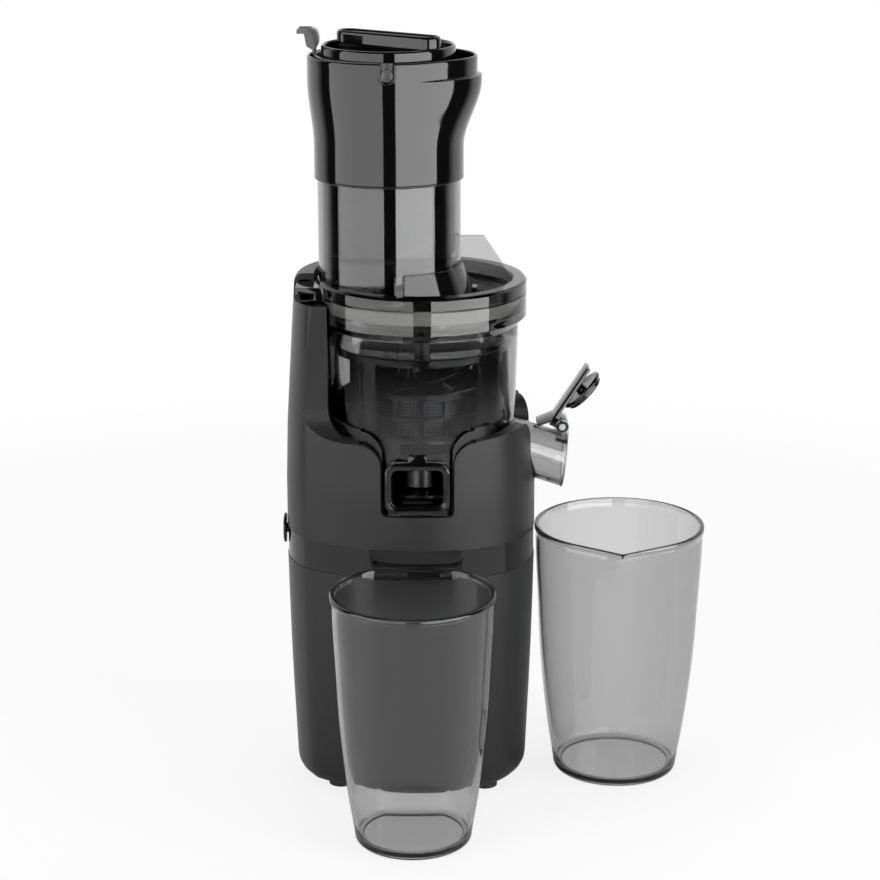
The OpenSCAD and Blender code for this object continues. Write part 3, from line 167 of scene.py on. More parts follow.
@dataclass(frozen=True)
class Moulded:
    """An opaque moulded, turned or cast surface with its grain, mottling and broken edges.

    Attributes:
        name: What the finish is.
        colour: sRGB hex of the surface.
        shade: sRGB hex that the colour drifts to in soft patches.
        roughness: Middle roughness.
        drift: How far the roughness wanders.
        grain: Size of the surface grain in millimetres.
        depth: Height of the grain in millimetres.
        patch: Size of the soft patches in millimetres.
        ior: Index of refraction.
        metallic: 1 for a bare metal.
        edge: Radius of a broken edge in millimetres.
        stretch: How much longer the grain is along each axis.
    """

    name: str
    colour: str
    shade: str
    roughness: float
    drift: float = 0.04
    grain: float = 0.5
    depth: float = 0.02
    patch: float = 40.0
    ior: float = 1.5
    metallic: float = 0.0
    edge: float = 0.3
    stretch: Point = (1.0, 1.0, 1.0)

    def material(self) -> bpy.types.Material:
        """Builds the material.

        Returns:
            The finished material.
        """
        material, tree = new_material(self.name)
        place = add(tree, "ShaderNodeTexCoord").outputs["Object"]
        turned = add(tree, "ShaderNodeMapping", inputs={"Vector": place, "Scale": self.stretch}).outputs["Vector"]
        patches = add(tree, "ShaderNodeTexNoise",
                      inputs={"Vector": place, "Scale": 1 / (self.patch * MM), "Detail": 2.0}).outputs["Fac"]
        grain = add(tree, "ShaderNodeTexNoise",
                    inputs={"Vector": turned, "Scale": 1 / (self.grain * MM), "Detail": 3.0}).outputs["Fac"]
        colour = add(tree, "ShaderNodeMix", {"data_type": "RGBA"},
                     {0: patches, 6: linear(self.colour), 7: linear(self.shade)}).outputs[2]
        rough = add(tree, "ShaderNodeMapRange", inputs={
            0: patches, 1: NOISE_LOW, 2: NOISE_HIGH, 3: self.roughness - self.drift,
            4: self.roughness + self.drift}).outputs[0]
        edge = add(tree, "ShaderNodeBevel", {"samples": 4}, {"Radius": self.edge * MM}).outputs[0]
        bump = add(tree, "ShaderNodeBump",
                   inputs={"Height": grain, "Distance": self.depth * MM, "Normal": edge}).outputs[0]
        surface = add(tree, "ShaderNodeBsdfPrincipled", inputs={
            "Base Color": colour, "Roughness": rough, "Normal": bump, "IOR": self.ior,
            "Metallic": self.metallic}).outputs[0]
        add(tree, "ShaderNodeOutputMaterial", inputs={"Surface": surface})
        return material


@dataclass(frozen=True)
class Clear:
    """A clear moulded plastic with a smoke tint in its body.

    Attributes:
        name: What the finish is.
        tint: sRGB hex of the tint.
        density: Absorption per metre at full strength.
        roughness: Middle roughness, which wanders by half of it.
        ior: Index of refraction.
        ripple: Size of the faint flow ripples in millimetres.
        depth: Height of the ripples in millimetres.
    """

    name: str
    tint: str
    density: float
    roughness: float = 0.02
    ior: float = 1.5
    ripple: float = 16.0
    depth: float = 0.012

    def material(self) -> bpy.types.Material:
        """Builds the material.

        Returns:
            The finished material.
        """
        material, tree = new_material(self.name)
        place = add(tree, "ShaderNodeTexCoord").outputs["Object"]
        flow = add(tree, "ShaderNodeTexNoise",
                   inputs={"Vector": place, "Scale": 1 / (self.ripple * MM), "Detail": 1.0}).outputs["Fac"]
        rough = add(tree, "ShaderNodeMapRange", inputs={
            0: flow, 1: NOISE_LOW, 2: NOISE_HIGH, 3: self.roughness * 0.5, 4: self.roughness * 1.5}).outputs[0]
        bump = add(tree, "ShaderNodeBump", inputs={"Height": flow, "Distance": self.depth * MM}).outputs[0]
        surface = add(tree, "ShaderNodeBsdfPrincipled", inputs={
            "Base Color": WHITE, "Roughness": rough, "Normal": bump, "IOR": self.ior,
            "Transmission Weight": 1.0}).outputs[0]
        body = add(tree, "ShaderNodeVolumeAbsorption",
                   inputs={"Color": linear(self.tint), "Density": self.density}).outputs[0]
        add(tree, "ShaderNodeOutputMaterial", inputs={"Surface": surface, "Volume": body})
        return material


@dataclass(frozen=True)
class Perforated:
    """Sheet steel round the drive axis, with rows of fine round holes.

    Attributes:
        name: What the finish is.
        colour: sRGB hex of the steel.
        hole: sRGB hex seen in a hole.
        pitch: Distance of the holes in millimetres.
        radius: Radius of the sleeve in millimetres.
        roughness: Roughness of the steel.
        edge: Height of the crossed waves, at most 2, where a hole begins and where it is fully dark.
        depth: Depth of a hole in millimetres.
    """

    name: str
    colour: str
    hole: str
    pitch: float
    radius: float
    roughness: float
    edge: Row = (0.7, 1.1)
    depth: float = 0.1

    def material(self) -> bpy.types.Material:
        """Builds the material.

        Returns:
            The finished material.
        """
        material, tree = new_material(self.name)
        place = add(tree, "ShaderNodeTexCoord").outputs["Object"]
        axes = add(tree, "ShaderNodeSeparateXYZ", inputs={0: place}).outputs
        turn = add(tree, "ShaderNodeMath", {"operation": "ARCTAN2"}, {0: axes[1], 1: axes[0]}).outputs[0]
        around = float(round(2 * math.pi * self.radius / self.pitch))
        waves = []
        for way, scale in ((axes[2], 2 * math.pi / (self.pitch * MM)), (turn, around)):
            phase = add(tree, "ShaderNodeMath", {"operation": "MULTIPLY"}, {0: way, 1: scale}).outputs[0]
            waves.append(add(tree, "ShaderNodeMath", {"operation": "COSINE"}, {0: phase}).outputs[0])
        hole = add(tree, "ShaderNodeMath", {"operation": "ADD"}, {0: waves[0], 1: waves[1]}).outputs[0]
        share = add(tree, "ShaderNodeMapRange", {"interpolation_type": "SMOOTHSTEP"},
                    {0: hole, 1: self.edge[0], 2: self.edge[1]}).outputs[0]
        colour = add(tree, "ShaderNodeMix", {"data_type": "RGBA"},
                     {0: share, 6: linear(self.colour), 7: linear(self.hole)}).outputs[2]
        bump = add(tree, "ShaderNodeBump", {"invert": True},
                   {"Height": share, "Distance": self.depth * MM}).outputs[0]
        surface = add(tree, "ShaderNodeBsdfPrincipled", inputs={
            "Base Color": colour, "Roughness": self.roughness, "Metallic": 1.0, "Normal": bump}).outputs[0]
        add(tree, "ShaderNodeOutputMaterial", inputs={"Surface": surface})
        return material


# ABS from a spark-eroded mould: a fine dull grain that spreads the softboxes into broad dim sheens.
TEXTURED_ABS = Moulded("textured charcoal ABS", "202021", "252526", 0.36, 0.03, grain=0.9, patch=60, ior=1.36)
# ABS from a polished mould: near black, it mirrors the softboxes as clean strips.
POLISHED_ABS = Moulded("polished black ABS", "080808", "0b0b0b", 0.06, 0.015, grain=14, depth=0.01, patch=35)
# Glass-filled nylon of the pressing parts: black, a little duller than the trim.
PRESS_NYLON = Moulded("black pressing nylon", "090909", "0d0d0d", 0.2, grain=2.0, depth=0.01, patch=20)
# ABS from a fine-blasted mould: black with a soft satin sheen, where the bowl stands.
SATIN_ABS = Moulded("satin black ABS", "090909", "0c0c0c", 0.16, 0.02, grain=1.2, depth=0.008, patch=30)
# ABS in a dark grey, satin from handling.
GATE_ABS = Moulded("dark grey satin ABS", "4a4a4b", "525253", 0.24, grain=3.0, depth=0.01, patch=20)
# Copolyester with a smoke tint: clear, dark at edges where light runs along the wall.
SMOKE_COPOLYESTER = Clear("smoke tinted copolyester", "555556", 215.0)
# The cup and jug are the same plastic, blown thinner and a little paler.
CUP_COPOLYESTER = Clear("smoke tinted cup plastic", "5c5c5d", 200.0)
# Compression moulded rubber: dull, almost black.
FOOT_RUBBER = Moulded("black moulded rubber", "141414", "1a1a1a", 0.6, 0.05, grain=0.7, depth=0.03, patch=12)
# Liquid silicone from a polished mould: black, with a soft gloss on the dished disc.
PLUG_SILICONE = Moulded("black glossy silicone", "0c0c0c", "101010", 0.16, 0.03, grain=4.0, depth=0.01, patch=12)
# Food grade silicone: pale, waxy.
SEAL_SILICONE = Moulded("pale food grade silicone", "b9b9b5", "c2c2bd", 0.4, 0.05, grain=1.5, patch=12)
# Ground and brushed stainless steel: fine lines round the part.
BRUSHED_STEEL = Moulded("brushed stainless steel", "b9babb", "c6c7c8", 0.26, 0.05, grain=1.2, depth=0.006,
                        metallic=1.0, stretch=(1, 1, 9))
# Stacked electrical steel sheets: thin level lines, dark from their varnish.
LAMINATED_IRON = Moulded("laminated motor iron", "6e6e70", "808083", 0.45, 0.06, grain=2.0, depth=0.05,
                         metallic=1.0, stretch=(0.2, 0.2, 3))
# Die cast zinc: dull grey with a soft cast skin.
CAST_ZINC = Moulded("die cast zinc", "8b8d90", "97999c", 0.42, 0.05, grain=1.0, depth=0.03, metallic=1.0)
# Enamelled copper wire: round turns under a clear brown enamel.
ENAMELLED_COPPER = Moulded("enamelled copper wire", "a25a2c", "b56a38", 0.3, 0.05, grain=1.4, depth=0.12,
                           metallic=1.0, stretch=(0.3, 0.3, 3))
# Sintered bronze: porous, oily and dull.
SINTERED_BRONZE = Moulded("sintered bronze", "8a6a3c", "9a7846", 0.5, 0.06, depth=0.04, metallic=1.0)
# Natural nylon of gears and fan: cream, waxy.
NATURAL_NYLON = Moulded("natural nylon", "d8d4c4", "cfcab8", 0.45, 0.05, grain=1.2, patch=15)
# Solder mask on a glass fibre board: deep green, glossy.
SOLDER_MASK = Moulded("green solder mask", "1d5a38", "226642", 0.25, 0.05, grain=1.0, depth=0.01, patch=8)
# Etched steel strainer, with near-black holes: a dull dark grey, partly for its rows of fine holes and partly as
# painted shade of the inside of the bowl. The holes are drawn at 2 mm, so that they show.
SHADED_ETCHED_STEEL = Perforated("etched strainer steel with painted shade", "454648", "0c0c0c", 2.0, 38.0, 0.34)

FINISH_OF: dict[Part, Moulded | Clear] = {
    Part.MATTE: TEXTURED_ABS,
    Part.GLOSS: POLISHED_ABS,
    Part.GATE: GATE_ABS,
    Part.SMOKE: SMOKE_COPOLYESTER,
    Part.CUP: CUP_COPOLYESTER,
    Part.RUBBER: FOOT_RUBBER,
    Part.SILICONE: SEAL_SILICONE,
    Part.STEEL: BRUSHED_STEEL,
    Part.IRON: LAMINATED_IRON,
    Part.ZINC: CAST_ZINC,
    Part.COPPER: ENAMELLED_COPPER,
    Part.BRONZE: SINTERED_BRONZE,
    Part.NYLON: NATURAL_NYLON,
    Part.BOARD: SOLDER_MASK,
}


class Wardrobe:
    """Every material of the scene, made once."""

    def __init__(self) -> None:
        """Builds the materials of all finishes."""
        self.by_part = {part: finish.material() for part, finish in FINISH_OF.items()}
        self.press = PRESS_NYLON.material()
        self.satin = SATIN_ABS.material()
        self.plug = PLUG_SILICONE.material()
        self.strainer = SHADED_ETCHED_STEEL.material()

    def of(self, part: Part) -> bpy.types.Material:
        """The material of one of the record's slots."""
        return self.by_part[part]


def clamp(share: float) -> float:
    """Keeps a share between 0 and 1."""
    return min(max(share, 0.0), 1.0)


def full_circle(count: int) -> list[float]:
    """Evenly spaced angles of a whole turn, in radians."""
    return [2 * math.pi * k / count for k in range(count)]


def arc(first: float, last: float, steps: int) -> list[float]:
    """Angles in radians from one angle in degrees to another, with both ends."""
    return [math.radians(first + (last - first) * k / steps) for k in range(steps + 1)]


def circle(radius: float, level: float, sides: int, place: Matrix | None = None) -> list[Point]:
    """Points of a circle round an axis.

    Args:
        radius: Its radius.
        level: Its level on the axis.
        sides: Number of points.
        place: Where the axis goes, if not to the origin.

    Returns:
        The points, in the unit that the radius has.
    """
    spot = place or Matrix()
    return [tuple(spot @ Vector((radius * math.cos(t), radius * math.sin(t), level))) for t in full_circle(sides)]


def new_object(name: str, data: bpy.types.ID) -> bpy.types.Object:
    """Makes an object and links it into the scene.

    Args:
        name: The object's name.
        data: Its mesh, camera or light.

    Returns:
        The object.
    """
    piece = bpy.data.objects.new(name, data)
    bpy.context.scene.collection.objects.link(piece)
    return piece


@contextmanager
def edited(mesh: bpy.types.Mesh) -> Iterator[bmesh.types.BMesh]:
    """Opens a mesh for edits and writes them back at the end.

    Args:
        mesh: The mesh.

    Yields:
        The open mesh.
    """
    work = bmesh.new()
    work.from_mesh(mesh)
    yield work
    work.to_mesh(mesh)
    work.free()


def piece_from(name: str, points: list[Point], faces: list[list[int]]) -> bpy.types.Object:
    """Makes an object from points and faces, merged and facing outwards.

    Args:
        name: The piece's name.
        points: Corners in metres.
        faces: Corner numbers of each face.

    Returns:
        The new object, smooth shaded.
    """
    mesh = bpy.data.meshes.new(name)
    mesh.from_pydata(points, [], faces)
    with edited(mesh) as work:
        bmesh.ops.remove_doubles(work, verts=work.verts, dist=WELD)
        bmesh.ops.recalc_face_normals(work, faces=work.faces)
    mesh.shade_smooth()
    return new_object(name, mesh)


def sharpen(piece: bpy.types.Object, degrees: float) -> None:
    """Keeps the edges sharp that turn by more than an angle, and smooths the rest.

    Args:
        piece: The piece.
        degrees: The angle.
    """
    piece.data.shade_smooth()
    piece.data.set_sharp_from_angle(angle=math.radians(degrees))


def settle(piece: bpy.types.Object) -> None:
    """Turns a piece's modifiers into its plain mesh.

    Args:
        piece: The piece.
    """
    graph = bpy.context.evaluated_depsgraph_get()
    mesh = bpy.data.meshes.new_from_object(piece.evaluated_get(graph), depsgraph=graph)
    piece.modifiers.clear()
    piece.data = mesh


def loft(name: str, rings: list[list[Point]], looped: bool = False, capped: bool = False,
         degrees: float = 35.0) -> bpy.types.Object:
    """Joins rings of points into a skin.

    Args:
        name: The piece's name.
        rings: Rings of the same number of points, in millimetres.
        looped: Whether the last ring joins the first.
        capped: Whether the two end rings are filled.
        degrees: Edges that turn by more stay sharp.

    Returns:
        The new object.
    """
    n, rows = len(rings[0]), len(rings)
    points = [(x * MM, y * MM, z * MM) for ring in rings for x, y, z in ring]
    faces = [
        [i * n + k, i * n + (k + 1) % n, (i + 1) % rows * n + (k + 1) % n, (i + 1) % rows * n + k]
        for i in range(rows if looped else rows - 1)
        for k in range(n)
    ]
    if capped:
        faces += [list(range(n)), list(range((rows - 1) * n, rows * n))]
    piece = piece_from(name, points, faces)
    sharpen(piece, degrees)
    return piece


def lathe(name: str, rows: list[Row], place: Matrix | None = None, looped: bool = False,
          sides: int = 120) -> bpy.types.Object:
    """Turns a section round an axis.

    Args:
        name: The piece's name.
        rows: Radius and level of the section's points, in millimetres.
        place: Where the axis goes, in millimetres.
        looped: Whether the section is closed, as a ring's is.
        sides: Number of sides.

    Returns:
        The new object.
    """
    return loft(name, [circle(radius, level, sides, place) for radius, level in rows], looped)


def new_tree(name: str, asked: dict[str, str]) -> tuple[bpy.types.NodeTree, Any]:
    """Starts a Geometry Nodes tree with named inputs.

    Args:
        name: The tree's name.
        asked: Each input's name and socket type.

    Returns:
        The tree and the outputs of its input node.
    """
    tree = bpy.data.node_groups.new(name, "GeometryNodeTree")
    for label, kind in {"Geometry": "NodeSocketGeometry", **asked}.items():
        tree.interface.new_socket(label, in_out="INPUT", socket_type=kind)
    tree.interface.new_socket("Geometry", in_out="OUTPUT", socket_type="NodeSocketGeometry")
    return tree, add(tree, "NodeGroupInput").outputs


def end_tree(tree: bpy.types.NodeTree, result: bpy.types.NodeSocket, finish: bpy.types.NodeSocket) -> None:
    """Ends a tree with its instances made real and its material set.

    Args:
        tree: The tree.
        result: The geometry so far.
        finish: The material.
    """
    real = add(tree, "GeometryNodeRealizeInstances", inputs={0: result}).outputs[0]
    dressed = add(tree, "GeometryNodeSetMaterial", inputs={"Geometry": real, "Material": finish}).outputs[0]
    add(tree, "NodeGroupOutput", inputs={0: dressed})


def grow(piece: bpy.types.Object, tree: bpy.types.NodeTree, values: dict[str, Any]) -> None:
    """Runs a tree on a piece and keeps the result as its plain mesh.

    Args:
        piece: The piece, whose mesh is the tree's geometry.
        tree: The tree.
        values: Input name to value.
    """
    modifier = piece.modifiers.new(tree.name, "NODES")
    modifier.node_group = tree
    for item in tree.interface.items_tree:
        if item.in_out == "INPUT" and item.name in values:
            modifier[item.identifier] = values[item.name]
    settle(piece)


class Growth:
    """The Geometry Nodes trees of what repeats, follows a line or follows a rule."""

    BEAD_SIDES = 12
    CORNERS = 8
    SLICES = 72

    def __init__(self) -> None:
        """Builds the trees."""
        self.copies = self.copies_tree()
        self.bead = self.bead_tree()
        self.flight = self.flight_tree()

    def copies_tree(self) -> bpy.types.NodeTree:
        """Copies of a shape, each turned and moved on along an axis.

        Returns:
            The tree.
        """
        tree, asked = new_tree("copies on a turn", {
            "Count": "NodeSocketInt", "Foot": "NodeSocketVector", "Axis": "NodeSocketVector",
            "Rise": "NodeSocketFloat", "Turn step": "NodeSocketFloat", "Finish": "NodeSocketMaterial"})
        step = add(tree, "ShaderNodeVectorMath", {"operation": "SCALE"},
                   {0: asked["Axis"], "Scale": asked["Rise"]}).outputs[0]
        line = add(tree, "GeometryNodeMeshLine", {"mode": "OFFSET"},
                   {"Count": asked["Count"], "Start Location": asked["Foot"], "Offset": step}).outputs[0]
        index = add(tree, "GeometryNodeInputIndex").outputs[0]
        turn = add(tree, "ShaderNodeMath", {"operation": "MULTIPLY"}, {0: index, 1: asked["Turn step"]}).outputs[0]
        spin = add(tree, "FunctionNodeAxisAngleToRotation",
                   inputs={"Axis": asked["Axis"], "Angle": turn}).outputs[0]
        put = add(tree, "GeometryNodeInstanceOnPoints",
                  inputs={"Points": line, "Instance": asked["Geometry"], "Rotation": spin}).outputs[0]
        end_tree(tree, put, asked["Finish"])
        return tree

    def bead_tree(self) -> bpy.types.NodeTree:
        """A round bead along a line.

        Returns:
            The tree.
        """
        tree, asked = new_tree("bead along a line", {
            "Thickness": "NodeSocketFloat", "Finish": "NodeSocketMaterial"})
        line = add(tree, "GeometryNodeMeshToCurve", inputs={"Mesh": asked["Geometry"]}).outputs[0]
        ring = add(tree, "GeometryNodeCurvePrimitiveCircle",
                   inputs={"Resolution": self.BEAD_SIDES, "Radius": asked["Thickness"]}).outputs[0]
        skin = add(tree, "GeometryNodeCurveToMesh",
                   inputs={"Curve": line, "Profile Curve": ring, "Fill Caps": True}).outputs[0]
        end_tree(tree, skin, asked["Finish"])
        return tree

    def flight_tree(self) -> bpy.types.NodeTree:
        """A blade section that turns as it rises: a grid whose columns take the places of the section's corners.

        Returns:
            The tree.
        """
        tree, asked = new_tree("rising flight", {
            "Slices": "NodeSocketInt", "Low": "NodeSocketFloat", "Height": "NodeSocketFloat",
            "First turn": "NodeSocketFloat", "Turn": "NodeSocketFloat", "Finish": "NodeSocketMaterial"})
        corners = float(self.CORNERS)
        grid = add(tree, "GeometryNodeMeshGrid", inputs={
            "Size X": 1.0, "Size Y": 1.0, "Vertices X": asked["Slices"], "Vertices Y": self.CORNERS + 1}).outputs[0]
        here = add(tree, "GeometryNodeInputPosition").outputs[0]
        axes = add(tree, "ShaderNodeSeparateXYZ", inputs={0: here}).outputs
        share = add(tree, "ShaderNodeMath", {"operation": "ADD"}, {0: axes[0], 1: 0.5}).outputs[0]
        row = add(tree, "ShaderNodeMath", {"operation": "MULTIPLY_ADD"},
                  {0: axes[1], 1: corners, 2: corners / 2 + 0.5}).outputs[0]
        corner = add(tree, "ShaderNodeMath", {"operation": "MODULO"}, {0: row, 1: corners}).outputs[0]
        number = add(tree, "FunctionNodeFloatToInt", {"rounding_mode": "FLOOR"}, {0: corner}).outputs[0]
        spot = add(tree, "GeometryNodeSampleIndex", {"data_type": "FLOAT_VECTOR", "domain": "POINT"},
                   {"Geometry": asked["Geometry"], "Value": here, "Index": number}).outputs[0]
        turn = add(tree, "ShaderNodeMath", {"operation": "MULTIPLY_ADD"},
                   {0: share, 1: asked["Turn"], 2: asked["First turn"]}).outputs[0]
        level = add(tree, "ShaderNodeMath", {"operation": "MULTIPLY_ADD"},
                    {0: share, 1: asked["Height"], 2: asked["Low"]}).outputs[0]
        turned = add(tree, "ShaderNodeVectorRotate", {"rotation_type": "Z_AXIS"},
                     {"Vector": spot, "Angle": turn}).outputs[0]
        lift = add(tree, "ShaderNodeCombineXYZ", inputs={2: level}).outputs[0]
        place = add(tree, "ShaderNodeVectorMath", {"operation": "ADD"}, {0: turned, 1: lift}).outputs[0]
        moved = add(tree, "GeometryNodeSetPosition", inputs={"Geometry": grid, "Position": place}).outputs[0]
        end_tree(tree, moved, asked["Finish"])
        return tree

    def run_bead(self, name: str, points: list[Point], thickness: float, finish: bpy.types.Material,
                 closed: bool = False) -> bpy.types.Object:
        """Lays a round bead along points.

        Args:
            name: The piece's name.
            points: The line in millimetres.
            thickness: The bead's radius in millimetres.
            finish: Its material.
            closed: Whether the line ends where it starts.

        Returns:
            The bead.
        """
        last = len(points) if closed else len(points) - 1
        mesh = bpy.data.meshes.new(name)
        mesh.from_pydata([tuple(c * MM for c in p) for p in points],
                         [(k, (k + 1) % len(points)) for k in range(last)], [])
        piece = new_object(name, mesh)
        grow(piece, self.bead, {"Thickness": thickness * MM, "Finish": finish})
        sharpen(piece, SOFT_CREASE)
        return piece

    def repeat(self, piece: bpy.types.Object, count: int, foot: Point, axis: Point, rise: float, step: float,
               finish: bpy.types.Material) -> None:
        """Repeats a shape along or round an axis.

        Args:
            piece: The shape, placed from the axis.
            count: How many.
            foot: Start of the axis in millimetres.
            axis: Its direction.
            rise: Distance from copy to copy in millimetres.
            step: Turn from copy to copy in degrees.
            finish: The material.
        """
        grow(piece, self.copies, {
            "Count": count, "Foot": tuple(c * MM for c in foot), "Axis": axis, "Rise": rise * MM,
            "Turn step": math.radians(step), "Finish": finish})
        sharpen(piece, SOFT_CREASE)


@dataclass
class Assembly:
    """What every sub-assembly is made with.

    Attributes:
        frame: The loaded frame.
        wardrobe: The materials.
        growth: The trees.
    """

    frame: dict[str, Any]
    wardrobe: Wardrobe
    growth: Growth

    def dress(self, piece: bpy.types.Object, body: str, part: Part, *nodes: str,
              finish: bpy.types.Material | None = None) -> None:
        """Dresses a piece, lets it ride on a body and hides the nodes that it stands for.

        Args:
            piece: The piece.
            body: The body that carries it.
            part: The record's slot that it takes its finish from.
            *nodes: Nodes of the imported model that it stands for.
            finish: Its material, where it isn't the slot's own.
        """
        piece.data.materials.clear()
        piece.data.materials.append(finish or self.wardrobe.of(part))
        piece.data.polygons.foreach_set("material_index", [0] * len(piece.data.polygons))
        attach(piece, body)
        if nodes:
            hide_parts(*nodes)
        log.info("%s rides on %s: %d faces", piece.name, body, len(piece.data.polygons))

    def copied(self, node: str, degrees: float) -> bpy.types.Object:
        """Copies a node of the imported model, joins its loose triangles and shades it smoothly.

        Args:
            node: The node's name.
            degrees: Edges that turn by more stay sharp.

        Returns:
            The copy.
        """
        piece = new_object(node + "_skin", self.frame["nodes"][node].data.copy())
        with edited(piece.data) as work:
            bmesh.ops.remove_doubles(work, verts=work.verts, dist=2 * WELD)
            bmesh.ops.dissolve_degenerate(work, edges=work.edges, dist=WELD)
        for layer in [a for a in piece.data.attributes if a.name == "custom_normal"]:
            piece.data.attributes.remove(layer)
        sharpen(piece, degrees)
        return piece

    def refine(self, node: str, body: str, part: Part, degrees: float = CREASE,
               finish: bpy.types.Material | None = None) -> None:
        """Dresses a node in its own shape.

        Args:
            node: The node's name.
            body: The body that carries it.
            part: Its slot.
            degrees: Edges that turn by more stay sharp.
            finish: Its material, where it isn't the slot's own.
        """
        self.dress(self.copied(node, degrees), body, part, node, finish=finish)

    def soften(self, node: str, body: str, part: Part, width: float = 0.5) -> None:
        """Dresses a node with its edges rounded, as a mould's broken edges leave them.

        Args:
            node: The node's name.
            body: The body that carries it.
            part: Its slot.
            width: Width of the rounding in millimetres.
        """
        piece = self.copied(node, CREASE)
        with edited(piece.data) as work:
            bmesh.ops.dissolve_limit(work, angle_limit=math.radians(0.5), verts=work.verts, edges=work.edges)
        bevel = piece.modifiers.new("broken edges", "BEVEL")
        bevel.width = width * MM
        bevel.segments = 3
        bevel.limit_method = "ANGLE"
        bevel.angle_limit = math.radians(CREASE)
        settle(piece)
        sharpen(piece, CREASE)
        self.dress(piece, body, part, node)

    def lay_bead(self, name: str, line: list[Point], thickness: float, body: str, part: Part,
                 closed: bool = False) -> None:
        """Lays a round bead and dresses it.

        Args:
            name: The piece's name.
            line: The line in millimetres.
            thickness: The bead's radius in millimetres.
            body: The body that carries it.
            part: Its slot.
            closed: Whether the line ends where it starts.
        """
        bead = self.growth.run_bead(name, line, thickness, self.wardrobe.of(part), closed)
        self.dress(bead, body, part)


@dataclass
class Housing(Assembly):
    """The motor housing: matte shells, gloss band, seat of the bowl, feet and knob."""

    crease: float = 24.0
    flutes: int = 30
    flute: float = 0.4
    flute_ends: Row = (0.5, 1.5)

    def build(self) -> None:
        """Dresses the housing's nodes."""
        for node, part in (("lower_housing", Part.MATTE), ("upper_housing", Part.MATTE), ("trim_band", Part.GLOSS)):
            self.refine(node, "base", part, self.crease)
        self.refine("bowl_seat", "base", Part.GLOSS, self.crease, self.wardrobe.satin)
        self.refine("rubber_feet", "base", Part.RUBBER)
        self.knob()

    def knob(self) -> None:
        """Dresses the control knob and lays grip flutes round it."""
        low, high = (Vector(c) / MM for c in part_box("control_knob"))
        radius, gloss = (high.z - low.z) / 2, self.wardrobe.of(Part.GLOSS)
        self.soften("control_knob", "knob", Part.GLOSS, 0.3)
        line = [(low.x + end, 0, radius) for end in self.flute_ends]
        flute = self.growth.run_bead("knob_flutes", line, self.flute, gloss)
        self.growth.repeat(flute, self.flutes, (0, (low.y + high.y) / 2, (low.z + high.z) / 2), (1, 0, 0), 0,
                           360 / self.flutes, gloss)
        self.dress(flute, "knob", Part.GLOSS)


